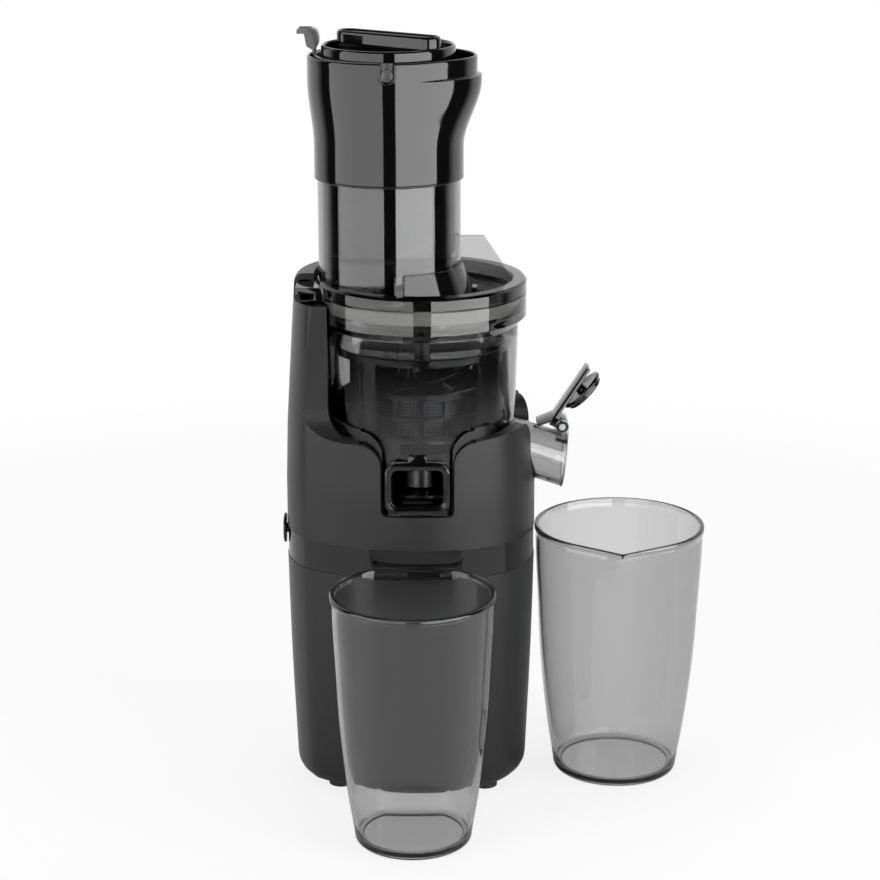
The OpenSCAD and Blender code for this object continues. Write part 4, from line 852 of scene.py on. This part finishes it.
@dataclass
class PressingSet(Assembly):
    """The bowl with its spout, outlet and cap, and the strainer, wiper and auger in it.

    Attributes:
        spout: X and level of the middle of the spout's end face.
        spout_radius: Radius of its lip.
        spout_tilt: Tilt of the face in degrees.
        lip: Radius of the lip's bead.
        lip_back: How far the bead lies behind the face.
        hinge: X and level of the cap's hinge.
        cap_open: How far the cap is open at rest, in degrees.
        core: Radius of the auger's core at its foot and at its top.
        bore: Radius of the auger's bore.
        bore_top: Top of the bore.
        sleeve: Radius of the foot's inner sleeve.
        sleeve_drop: How far the sleeve stands below the core's foot.
        hollow: Radius of the hollow round the sleeve.
        hollow_top: Top of the hollow.
        foot: Foot of the core.
        low_top: Top of the steep flights.
        head: Foot of the head's flights.
        top: Top of the head.
        pin: Radius of the pin.
        pin_top: Top of the pin.
        flight_radius: Reach of the steep flights.
        head_radius: Reach of the head's flights.
        flight_half: Half the thickness of a flight at its root.
        root: Inner radius of a flight, inside the core.
    """

    spout: Row = (88.5, 205.7)
    spout_radius: float = 16.3
    spout_tilt: float = 96.0
    lip: float = 0.7
    lip_back: float = 0.6
    hinge: Row = (86.5, 229.5)
    cap_open: float = 142.0
    core: Row = (25.0, 11.0)
    bore: float = 7.7
    bore_top: float = 240.0
    sleeve: float = 10.3
    sleeve_drop: float = 3.3
    hollow: float = 15.3
    hollow_top: float = 206.8
    foot: float = 194.54
    low_top: float = 259.5
    head: float = 260.5
    top: float = 290.0
    pin: float = 5.0
    pin_top: float = 314.0
    flight_radius: float = 37.0
    head_radius: float = 41.5
    flight_half: float = 5.0
    root: float = 15.6

    def face(self) -> Matrix:
        """Place of the spout's end face, in millimetres."""
        tilt = Matrix.Rotation(math.radians(self.spout_tilt), 4, "Y")
        return Matrix.Translation((self.spout[0], 0, self.spout[1])) @ tilt

    def swung(self) -> Matrix:
        """Place of the open cap, in millimetres."""
        hinge = Matrix.Translation((self.hinge[0], 0, self.hinge[1]))
        return hinge @ Matrix.Rotation(math.radians(-self.cap_open), 4, "Y") @ hinge.inverted() @ self.face()

    def build(self) -> None:
        """Dresses the bowl and what is in it."""
        press = self.wardrobe.press
        self.refine("juicing_bowl", "bowl", Part.SMOKE)
        self.soften("pulp_outlet", "bowl", Part.GLOSS)
        self.soften("cap_lever", "spout_cap", Part.GLOSS)
        self.refine("strainer_cage", "bowl", Part.GLOSS, finish=press)
        self.refine("wiper_frame", "wiper", Part.GLOSS, finish=press)
        # The sleeve's dark grey steel and near-black holes are partly painted shade of the inside of the bowl.
        self.refine("strainer_sleeve", "bowl", Part.STEEL, finish=self.wardrobe.strainer)
        lip = circle(self.spout_radius, -self.lip_back, 96, self.face())
        self.lay_bead("spout_lip", lip, self.lip, "bowl", Part.SMOKE, closed=True)
        self.plug()
        self.auger()

    def plug(self) -> None:
        """Makes the cap's dished rubber disc with its sealing ring, from the middle of its face to that of its back."""
        rows = [(0, -0.6), (10.4, -0.8), (11.4, -2.2), (12.2, -2.2), (12.9, -1.5), (13.0, 0.1), (13.9, 0.3),
                (14.5, 0.8), (14.6, 1.4), (14.3, 2.1), (13.4, 2.5), (12.2, 2.4), (10.0, 1.8), (5.0, 1.3),
                (3.4, 1.6), (3.0, 2.5), (0, 2.5)]
        disc = lathe("cap_disc", rows, self.swung(), sides=96)
        self.dress(disc, "spout_cap", Part.RUBBER, "cap_plug", finish=self.wardrobe.plug)

    def auger(self) -> None:
        """Makes the auger: a turned core with a steep pair of flights and a wider pair on its head."""
        press, pin, foot = self.wardrobe.press, self.pin, self.foot
        low, high = self.core
        slope = (high - low) / (self.top - foot)
        rows = [(self.bore, foot - self.sleeve_drop), (self.sleeve, foot - self.sleeve_drop),
                (self.sleeve, self.hollow_top), (self.hollow, self.hollow_top), (self.hollow, foot)]
        rows += [(low - 0.8, foot), (low, foot + 0.8)]
        rows += [(low + slope * (z - foot), z) for z in (210.0, 226.0, 242.0, 258.0, 274.0, 285.0)]
        rows += [(high, self.top - 1.2), (high - 1.4, self.top), (pin + 2.0, self.top + 1.0),
                 (pin + 0.4, self.top + 3.0), (pin, self.top + 5.5), (pin, self.pin_top - 1.0),
                 (pin - 0.8, self.pin_top), (0, self.pin_top), (0, self.bore_top), (self.bore, self.bore_top)]
        core = lathe("auger_core", rows, looped=True, sides=96)
        self.dress(core, "screw", Part.GLOSS, "auger", finish=press)
        self.flights("auger_flights", self.flight_radius, (foot, self.low_top), 0.0, 300.0)
        self.flights("auger_head", self.head_radius, (self.head, self.top), 70.0, 150.0)

    def flights(self, name: str, radius: float, levels: Row, first: float, turn: float) -> None:
        """Makes a pair of flights.

        Args:
            name: The piece's name.
            radius: How far they reach.
            levels: Their foot and top.
            first: Where the first one starts, in degrees.
            turn: How far they turn, in degrees.
        """
        press = self.wardrobe.press
        shares = [(0.15, -1), (0.6, -0.7), (0.95, -0.5), (1, -0.2), (1, 0.2), (0.95, 0.5), (0.6, 0.7), (0.15, 1)]
        section = [(max(radius * s, self.root) * MM, self.flight_half * t * MM, 0.0) for s, t in shares]
        blade = piece_from(name, section, [list(range(len(section)))])
        grow(blade, self.growth.flight, {
            "Slices": self.growth.SLICES, "Low": levels[0] * MM, "Height": (levels[1] - levels[0]) * MM,
            "First turn": math.radians(first), "Turn": math.radians(turn), "Finish": press})
        with edited(blade.data) as work:
            bmesh.ops.remove_doubles(work, verts=work.verts, dist=WELD)
            bmesh.ops.holes_fill(work, edges=work.edges, sides=0)
            bmesh.ops.recalc_face_normals(work, faces=work.faces)
        self.growth.repeat(blade, 2, (0, 0, 0), (0, 0, 1), 0, 180, press)
        sharpen(blade, 35)
        self.dress(blade, "screw", Part.GLOSS, finish=press)


@dataclass
class Hopper(Assembly):
    """The lid with its feed tube, collar, gate and pusher.

    Attributes:
        shift: X of the tube's axis.
        collar_low: Foot of the collar.
        collar_radius: Radius of its straight part.
        collar_top: Its top.
        flare_low: Where the swell begins.
        flare_high: Where the swell is full.
        flare_left: Reach of the swell on the left.
        flare_right: Its reach on the spout's side.
        flare_depth: Its reach in front and behind.
        step: Level of the sunk part on the spout's side.
        step_depth: How far it is sunk.
        bore: Radius of the collar's bore.
        bore_top: Top of the bore, above which the wall is even.
        chute_low: Foot of the guide's thin wall.
        chute_top: Its top.
        chute_radius: Its outer radius.
        chute_wall: Its thickness.
        chute_turns: Where it starts and ends, in degrees.
        pivot: Level of the gate's axis.
        pivot_slot: Half the width of a pivot slot.
        slot: Half the width of the slot's raised rim.
        rim: Radius of the bead of a raised rim and of the rolled foot.
        gate_in: Inner radius of the gate's lever.
        pusher_radius: Radius of the pusher.
        pusher_foot: Its foot.
        pusher_top: Its rim.
        wall: Its wall.
        cap_top: Top of its cap.
        grip_top: Top of its grip.
        grip_half: Half the distance of the grip's two bends.
        grip_bend: Radius of a bend.
        grip_turn: Turn of the grip round the axis, in degrees.
    """

    shift: float = -19.0
    collar_low: float = 383.0
    collar_radius: float = 44.8
    collar_top: float = 456.0
    flare_low: float = 402.0
    flare_high: float = 441.0
    flare_left: float = 3.5
    flare_right: float = 10.6
    flare_depth: float = 2.3
    step: float = 445.0
    step_depth: float = 2.6
    bore: float = 43.1
    bore_top: float = 440.0
    chute_low: float = 312.5
    chute_top: float = 337.2
    chute_radius: float = 40.3
    chute_wall: float = 1.0
    chute_turns: Row = (70.0, 275.0)
    pivot: float = 449.0
    pivot_slot: float = 3.6
    slot: float = 4.7
    rim: float = 0.7
    gate_in: float = 42.7
    pusher_radius: float = 40.0
    pusher_foot: float = 338.0
    pusher_top: float = 462.0
    wall: float = 2.5
    cap_top: float = 455.0
    grip_top: float = 468.5
    grip_half: float = 28.8
    grip_bend: float = 6.0
    grip_turn: float = -35.0

    def build(self) -> None:
        """Dresses the lid and the hopper."""
        self.refine("lid", "lid_unit", Part.SMOKE)
        self.refine("auger_guide", "lid_unit", Part.GLOSS)
        self.chute()
        self.soften("lid_catch", "lid_unit", Part.GLOSS)
        self.collar()
        self.collar_beads()
        self.gate()
        self.pusher()

    def rim_point(self, turn: float, radius: float, z: float) -> Point:
        """A point round the tube's axis, in millimetres."""
        return (self.shift + radius * math.cos(turn), radius * math.sin(turn), z)

    def slot_line(self, half: float, top: float) -> list[Row]:
        """X and level of a pivot slot's U, from the left end down round the pivot and up again."""
        bend = [(self.shift + half * math.cos(t), self.pivot + half * math.sin(t)) for t in arc(180, 360, 16)]
        return [(self.shift - half, top), *bend, (self.shift + half, top)]

    def chute(self) -> None:
        """Makes the guide's thin black wall, which stands inside the foot of the tube but for its right front."""
        low, top, outside, ease = self.chute_low, self.chute_top, self.chute_radius, 0.3
        inside = outside - self.chute_wall
        section = [(outside, low), (outside, top - ease), (outside - ease, top), (inside + ease, top),
                   (inside, top - ease), (inside, low)]
        rings = [[self.rim_point(t, r, z) for r, z in section] for t in arc(*self.chute_turns, 72)]
        self.dress(loft("guide_wall", rings, capped=True), "lid_unit", Part.GLOSS)

    def flare(self, turn: float, z: float) -> float:
        """Radius of the collar's outside, which swells most towards the spout's side and is sunk there at the top.

        Args:
            turn: Angle round the tube's axis.
            z: Level in millimetres.

        Returns:
            The radius in millimetres.
        """
        share = clamp((z - self.flare_low) / (self.flare_high - self.flare_low))
        rise = share * share * (3 - 2 * share)
        sunk = clamp(z - self.step + 0.5)
        across, along = math.cos(turn), math.sin(turn)
        if across > 0:
            side = self.flare_right * across**4 * rise - self.step_depth * across**2 * sunk
        else:
            side = self.flare_left * across**2 * rise
        return self.collar_radius + side + self.flare_depth * along**2 * rise

    def collar(self) -> None:
        """Makes the collar's swollen wall and cuts the two pivot slots into it."""
        low, top, step, rows = self.collar_low, self.collar_top, self.step, 26
        levels = [low + 0.7] + [low + 2 + k * (step - 2 - low) / rows for k in range(rows)]
        levels += [step - 0.5, step, step + 0.5, 448, 451, top - 1.2]
        outer = [(low, 0.5)] + [(z, 0.0) for z in levels] + [(top - 0.35, 0.3), (top, 0.8)]
        inner = [(top, 1.3), (top - 0.5, 1.8)] + [(z, 2.0) for z in (452.0, 448.0, 444.0, self.bore_top + 0.8)]
        turns = full_circle(144)
        rings = [[self.rim_point(t, self.flare(t, z) - inset, z) for t in turns] for z, inset in outer + inner]
        rings += [[self.rim_point(t, self.bore, z) for t in turns] for z in (self.bore_top, low)]
        piece = loft("collar_wall", rings, looped=True)
        outline = self.slot_line(self.pivot_slot, top + 8.0)
        cutter = loft("slot_cutter", [[(x, y, z) for x, z in outline] for y in (-60.0, 60.0)], capped=True)
        cut = piece.modifiers.new("pivot slots", "BOOLEAN")
        cut.object, cut.operation, cut.solver = cutter, "DIFFERENCE", "EXACT"
        settle(piece)
        bpy.data.objects.remove(cutter)
        sharpen(piece, 40)
        self.dress(piece, "lid_unit", Part.GLOSS, "hopper_collar")

    def collar_beads(self) -> None:
        """Lays the raised rims of the two pivot slots and the rolled foot of the collar."""
        for side, name in ((-1, "front"), (1, "rear")):
            y = side * (self.collar_radius + 2.4)
            line = [(x, y, z) for x, z in self.slot_line(self.slot, self.collar_top - 0.6)]
            self.lay_bead(f"slot_rim_{name}", line, self.rim, "lid_unit", Part.GLOSS)
        foot = [self.rim_point(t, self.collar_radius - 0.5, self.collar_low + self.rim) for t in full_circle(120)]
        self.lay_bead("collar_foot", foot, self.rim, "lid_unit", Part.GLOSS, closed=True)

    def gate(self) -> None:
        """Dresses the feed gate and lays the three grip ridges on its lever."""
        satin, count, pitch = self.wardrobe.of(Part.GATE), 3, 3.0
        self.soften("feed_gate", "gate", Part.GATE)
        edge = [(2.0, 14.7), (3.0, 15.4), (6.0, 15.45), (9.6, 15.4)]
        line = [(self.shift - self.gate_in - x, 0, self.collar_top + z) for x, z in edge]
        ridges = self.growth.run_bead("lever_ridges", line, 0.45, satin)
        self.growth.repeat(ridges, count, (0, -pitch, 0), (0, 1, 0), pitch, 0, satin)
        self.dress(ridges, "gate", Part.GATE)

    def pusher(self) -> None:
        """Makes the pusher: a cup with a rolled rim, and its sunk cap with a loop grip."""
        r, low, top, inside = self.pusher_radius, self.pusher_foot, self.pusher_top, self.pusher_radius - self.wall
        axis = Matrix.Translation((self.shift, 0, 0))
        rows = [(0, low), (r - 2.2, low), (r - 0.8, low + 0.5), (r - 0.1, low + 1.6), (r, low + 3)]
        rows += [(r, low + (top - low) * k / 8) for k in range(1, 8)]
        rows += [(r, top - 2.2), (r - 0.2, top - 0.9), (r - 0.8, top - 0.15), (r - 1.4, top), (r - 2.0, top - 0.3),
                 (inside + 0.1, top - 1.1), (inside, top - 2.4), (inside, self.cap_top - 1), (inside, low + 5),
                 (inside - 2.4, low + self.wall), (0, low + self.wall)]
        self.dress(lathe("pusher_wall", rows, axis), "pusher", Part.GLOSS, "pusher_cup")
        disc = [(0, self.cap_top - 3), (inside, self.cap_top - 3), (inside, self.cap_top + 0.9),
                (inside - 0.5, self.cap_top + 0.3), (inside - 1.6, self.cap_top), (0, self.cap_top)]
        self.dress(lathe("pusher_cap", disc, axis), "pusher", Part.GLOSS, "pusher_handle")
        self.grip()

    def grip(self) -> None:
        """Makes the loop grip: a half-round section swept round two bends and the straights between them."""
        side = [(-2.5, -0.4), (-1.9, 1.0), (-1.6, 3.0), (-1.6, 9.5), (-1.3, 10.6), (-0.7, 11.3)]
        section = side + [(0, 11.6)] + [(-a, h) for a, h in reversed(side)]
        scale, turn = (self.grip_top - self.cap_top) / 11.6, math.radians(self.grip_turn)
        rings = []
        for end, first in ((1, -90), (-1, 90)):
            for a in arc(first, first + 180, 12):
                ring = []
                for out, up in section:
                    x = end * self.grip_half + self.grip_bend * math.cos(a) + math.cos(a) * out
                    y = self.grip_bend * math.sin(a) + math.sin(a) * out
                    ring.append((self.shift + x * math.cos(turn) - y * math.sin(turn),
                                 x * math.sin(turn) + y * math.cos(turn), self.cap_top + up * scale))
                rings.append(ring)
        self.dress(loft("pusher_grip", rings, looped=True), "pusher", Part.GLOSS)


@dataclass
class Vessel(Assembly):
    """A tapering clear vessel with a beaded rim.

    Attributes:
        node: The node that it stands for.
        body: The body that carries it.
        centre: Place of its axis.
        height: Full height.
        rim: Radius of the rim's bead.
        foot: Radius of the foot.
        shape: Turns a plain radius into the real one, from the angle, the level and the plain radius.
        wall: Thickness of the wall.
        floor: Height of the inner floor.
        bead: Reach of the rim's bead.
        bead_height: Its height.
        sides: Number of sides.
        belly: Shares of the height, and how much of the way from foot to rim the radius has gone there.
    """

    node: str
    body: str
    centre: Row
    height: float
    rim: float
    foot: float
    shape: Callable[[float, float, float], float]
    wall: float = 2.2
    floor: float = 4.4
    bead: float = 0.8
    bead_height: float = 3.4
    sides: int = 180
    belly: tuple[Row, ...] = (
        (0, 0), (0.075, 0.12), (0.18, 0.32), (0.35, 0.57), (0.52, 0.745), (0.69, 0.85), (0.87, 0.965), (1, 1))

    def plain(self, z: float) -> float:
        """Radius of the outer wall at a level, eased through the belly's shares.

        Args:
            z: Level in millimetres.

        Returns:
            The radius.
        """
        rows, at = self.belly, clamp(z / self.height)
        k = max(i for i in range(len(rows) - 1) if rows[i][0] <= at)
        slopes = []
        for i in (k, k + 1):
            before, after = rows[max(i - 1, 0)], rows[min(i + 1, len(rows) - 1)]
            slopes.append((after[1] - before[1]) / (after[0] - before[0]))
        span = rows[k + 1][0] - rows[k][0]
        t = (at - rows[k][0]) / span
        share = (rows[k][1] * (1 + 2 * t) * (1 - t) ** 2 + rows[k + 1][1] * t * t * (3 - 2 * t)
                 + slopes[0] * span * t * (1 - t) ** 2 - slopes[1] * span * t * t * (1 - t))
        return self.foot + (self.rim - self.bead - self.foot) * share

    def section(self) -> list[Row]:
        """The wall's section as pairs of inset from the outer wall and level, from the foot's ring over the rim to
        the inner floor."""
        top, bead, wall, floor = self.height, self.bead_height, self.wall, self.floor
        steps = [top * k / 24 for k in range(1, 24)]
        rows = [(6.0, 2.0), (5.0, 2.0), (4.2, 1.7), (3.6, 0.4), (3.0, 0.0), (2.2, 0.0), (1.2, 0.4), (0.5, 1.1),
                (0.1, 2.0), (0.0, 3.2)]
        rows += [(0.0, z) for z in steps]
        rows += [(0.0, top - bead - 0.7), (-self.bead * 0.8, top - bead), (-self.bead, top - bead + 0.8),
                 (-self.bead, top - 1.3), (-self.bead * 0.6, top - 0.4), (0.2, top), (wall - 1.0, top),
                 (wall - 0.3, top - 0.4), (wall, top - 1.3)]
        rows += [(wall, z) for z in reversed(steps[1:])]
        rows += [(wall, floor + 3.0), (wall + 0.3, floor + 1.5), (wall + 1.0, floor + 0.5),
                 (wall + 2.0, floor + 0.1), (wall + 3.2, floor)]
        return rows

    def build(self) -> None:
        """Builds the vessel's closed wall, whose two end rings shrink to the hubs of the foot and the floor."""
        x, y = self.centre
        rows, turns = self.section(), full_circle(self.sides)
        rings = [[(x, y, rows[0][1])] * self.sides]
        for inset, z in rows:
            reach = [self.shape(t, z, self.plain(z)) - inset for t in turns]
            rings.append([(x + r * math.cos(t), y + r * math.sin(t), z) for t, r in zip(turns, reach)])
        rings.append([(x, y, self.floor)] * self.sides)
        self.dress(loft(self.node + "_wall", rings, degrees=SOFT_CREASE), self.body, Part.CUP, self.node)


def flat_back(turn: float, z: float, radius: float) -> float:
    """Radius of the pulp cup, which is round but for a flat back towards the housing.

    Args:
        turn: Angle round the axis.
        z: Level in millimetres.
        radius: The round wall's radius.

    Returns:
        The radius with the flat cut in and its corners eased.
    """
    low, high, height, ease, far = 28.6, 40.5, 156.0, 0.3, 200.0
    behind = math.sin(turn)
    if behind <= 0.05:
        return radius
    flat = min((low + (high - low) * z / height) / behind, far)
    return radius - ease * math.log(math.exp((radius - flat) / ease) + 1)


def pour_lip(turn: float, z: float, radius: float) -> float:
    """Radius of the juice jug, which has a pouring lip towards the front: two flat flanks that meet in a fold.

    Args:
        turn: Angle round the axis.
        z: Level in millimetres.
        radius: The round wall's radius.

    Returns:
        The radius with the lip's reach added.
    """
    ahead, half, foot, top = 268, 33.0, 138.0, 163.0
    off = abs((math.degrees(turn) - ahead + 180) % 360 - 180)
    if off >= half:
        return radius
    return radius + radius * (1 / math.cos(math.radians(half - off)) - 1) * clamp((z - foot) / (top - foot))


class Ray(Enum):
    """Rays that don't see a reflection card, so that only gloss and clear plastic do."""

    CAMERA = "visible_camera"
    DIFFUSE = "visible_diffuse"
    VOLUME = "visible_volume_scatter"
    SHADOW = "visible_shadow"


@dataclass
class Studio:
    """Floor, world, lamps, reflection cards and camera, in metres and degrees.

    Attributes:
        size: Width of the picture in pixels.
        focal: Focal length in pixels.
        sensor: Width of the camera's sensor in millimetres.
        place: Place of the camera.
        pitch: How far it looks down.
        room: Brightness of the room on dull surfaces, where 1 is white.
        front: Brightness of the room in front, as gloss and clear plastic see it.
        backdrop: How far back a direction points where the white backdrop begins and where it is full.
        disc: Radius of the floor.
        fade: Distances at which the floor begins to fade and is gone.
        glow: Share of plain white in the floor that the camera sees.
        paper: Reflectance of the floor.
        card_reach: Distance of the reflection cards.
        card_levels: Lower and upper edge of the cards.
        aim: Level that the lamps face.
    """

    size: int = 880
    focal: float = 2400.0
    sensor: float = 36.0
    place: Point = (0.0115, -1.425, 0.635)
    pitch: float = 16.3
    room: float = 0.42
    front: float = 0.03
    backdrop: Row = (0.25, 0.5)
    disc: float = 1.6
    fade: Row = (0.62, 0.98)
    glow: float = 0.82
    paper: float = 0.8
    card_reach: float = 1.7
    card_levels: Row = (-0.19, 1.5)
    aim: float = 0.22

    def camera(self) -> None:
        """Makes the camera at the photograph's place."""
        data = bpy.data.cameras.new("camera")
        data.sensor_width = self.sensor
        data.lens = self.focal / self.size * self.sensor
        data.clip_end = 50
        piece = new_object("camera", data)
        piece.location = self.place
        piece.rotation_euler = (math.radians(90 - self.pitch), 0, 0)
        bpy.context.scene.camera = piece

    def world(self) -> None:
        """White backdrop for the camera, for clear plastic and behind the object in its gloss; a dim room in front."""
        world = bpy.data.worlds.new("studio")
        bpy.context.scene.world = world
        world.use_nodes = True
        tree = world.node_tree
        tree.nodes.clear()
        path = add(tree, "ShaderNodeLightPath").outputs
        shown = add(tree, "ShaderNodeMath", {"operation": "MAXIMUM"},
                    {0: path["Is Glossy Ray"], 1: path["Is Transmission Ray"]}).outputs[0]
        way = add(tree, "ShaderNodeTexCoord").outputs["Generated"]
        back = add(tree, "ShaderNodeSeparateXYZ", inputs={0: way}).outputs[1]
        drop = add(tree, "ShaderNodeMapRange", inputs={
            0: back, 1: self.backdrop[0], 2: self.backdrop[1], 3: self.front, 4: 1.0}).outputs[0]
        fill = add(tree, "ShaderNodeMix", {"data_type": "FLOAT"}, {0: shown, 2: self.room, 3: drop}).outputs[0]
        level = add(tree, "ShaderNodeMix", {"data_type": "FLOAT"},
                    {0: path["Is Camera Ray"], 2: fill, 3: 1.0}).outputs[0]
        light = add(tree, "ShaderNodeBackground", inputs={"Color": WHITE, "Strength": level}).outputs[0]
        add(tree, "ShaderNodeOutputWorld", inputs={"Surface": light})

    def floor(self) -> None:
        """Pale round floor that fades out, with the object's shadow kept."""
        points = circle(self.disc, 0.0, 96)
        piece = piece_from("floor", points, [list(range(len(points)))])
        material, tree = new_material("pale studio floor")
        place = add(tree, "ShaderNodeTexCoord").outputs["Object"]
        reach = add(tree, "ShaderNodeVectorMath", {"operation": "LENGTH"}, {0: place}).outputs["Value"]
        gone = add(tree, "ShaderNodeMapRange", {"interpolation_type": "SMOOTHSTEP"},
                   {0: reach, 1: self.fade[0], 2: self.fade[1]}).outputs[0]
        path = add(tree, "ShaderNodeLightPath").outputs
        seen = add(tree, "ShaderNodeMath", {"operation": "MAXIMUM"},
                   {0: path["Is Camera Ray"], 1: path["Is Transmission Ray"]}).outputs[0]
        share = add(tree, "ShaderNodeMath", {"operation": "MULTIPLY"}, {0: seen, 1: self.glow}).outputs[0]
        paper = add(tree, "ShaderNodeBsdfDiffuse",
                    inputs={"Color": (self.paper, self.paper, self.paper, 1)}).outputs[0]
        glow = add(tree, "ShaderNodeEmission", inputs={"Color": WHITE, "Strength": 1.0}).outputs[0]
        mixed = add(tree, "ShaderNodeMixShader", inputs={0: share, 1: paper, 2: glow}).outputs[0]
        clear = add(tree, "ShaderNodeBsdfTransparent").outputs[0]
        faded = add(tree, "ShaderNodeMixShader", inputs={0: gone, 1: mixed, 2: clear}).outputs[0]
        add(tree, "ShaderNodeOutputMaterial", inputs={"Surface": faded})
        piece.data.materials.append(material)

    def card(self, name: str, low: float, high: float, strength: float) -> None:
        """Makes a curved softbox front that only gloss and clear plastic see.

        Args:
            name: Its name.
            low: Its first edge, in degrees from the camera's side, positive to the right.
            high: Its second edge.
            strength: How bright it is, where 1 is white.
        """
        n, reach = 12, self.card_reach
        points = [(reach * math.sin(turn), -reach * math.cos(turn), z)
                  for turn in arc(low, high, n) for z in self.card_levels]
        piece = piece_from(name, points, [[2 * k, 2 * k + 2, 2 * k + 3, 2 * k + 1] for k in range(n)])
        material, tree = new_material(name)
        glow = add(tree, "ShaderNodeEmission", inputs={"Color": WHITE, "Strength": strength}).outputs[0]
        add(tree, "ShaderNodeOutputMaterial", inputs={"Surface": glow})
        piece.data.materials.append(material)
        for ray in Ray:
            setattr(piece, ray.value, False)

    def lamp(self, name: str, place: Point, size: float, power: float) -> None:
        """Makes a square lamp that faces the object.

        Args:
            name: Its name.
            place: Its centre.
            size: Its side in metres.
            power: Its power in watts.
        """
        data = bpy.data.lights.new(name, "AREA")
        data.size = size
        data.energy = power
        piece = new_object(name, data)
        piece.location = place
        piece.rotation_euler = (Vector((0, 0, self.aim)) - Vector(place)).to_track_quat("-Z", "Y").to_euler()
        piece.visible_glossy = False

    def build(self) -> None:
        """Sets up the studio."""
        bpy.context.scene.view_settings.view_transform = "Standard"
        self.camera()
        self.world()
        self.floor()
        self.card("left softbox", -88, -8, 3.0)
        self.card("right softbox", 11, 78, 5.6)
        self.lamp("left lamp", (-1.3, -1.1, 1.2), 0.9, 12)
        self.lamp("right lamp", (1.3, -0.9, 1.3), 0.9, 16)
        self.lamp("top lamp", (0.0, 0.2, 1.9), 1.2, 14)


def dress_nodes(frame: dict[str, Any], wardrobe: Wardrobe) -> None:
    """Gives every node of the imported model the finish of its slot.

    Args:
        frame: The loaded frame.
        wardrobe: The materials.
    """
    slot_of = {s["node"]: Part(s["material_slot"]) for s in frame["record"]["subparts"]}
    for name, node in frame["nodes"].items():
        node.data.materials.clear()
        node.data.materials.append(wardrobe.of(slot_of[name]))


def main() -> None:
    """Builds the scene."""
    logging.basicConfig(level=logging.INFO, format="%(message)s")
    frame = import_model()
    wardrobe = Wardrobe()
    dress_nodes(frame, wardrobe)
    kit = (frame, wardrobe, Growth())
    for assembly in (Housing, PressingSet, Hopper):
        assembly(*kit).build()
    Vessel(*kit, "pulp_cup", "cup", centre=(-4.5, -103.5), height=156, rim=49, foot=34.8, shape=flat_back,
           bead=1.1).build()
    Vessel(*kit, "juice_jug", "jug", centre=(123.8, 5.0), height=163, rim=53.3, foot=38.9, shape=pour_lip).build()
    Studio().build()


if __name__ == "__main__":
    main()
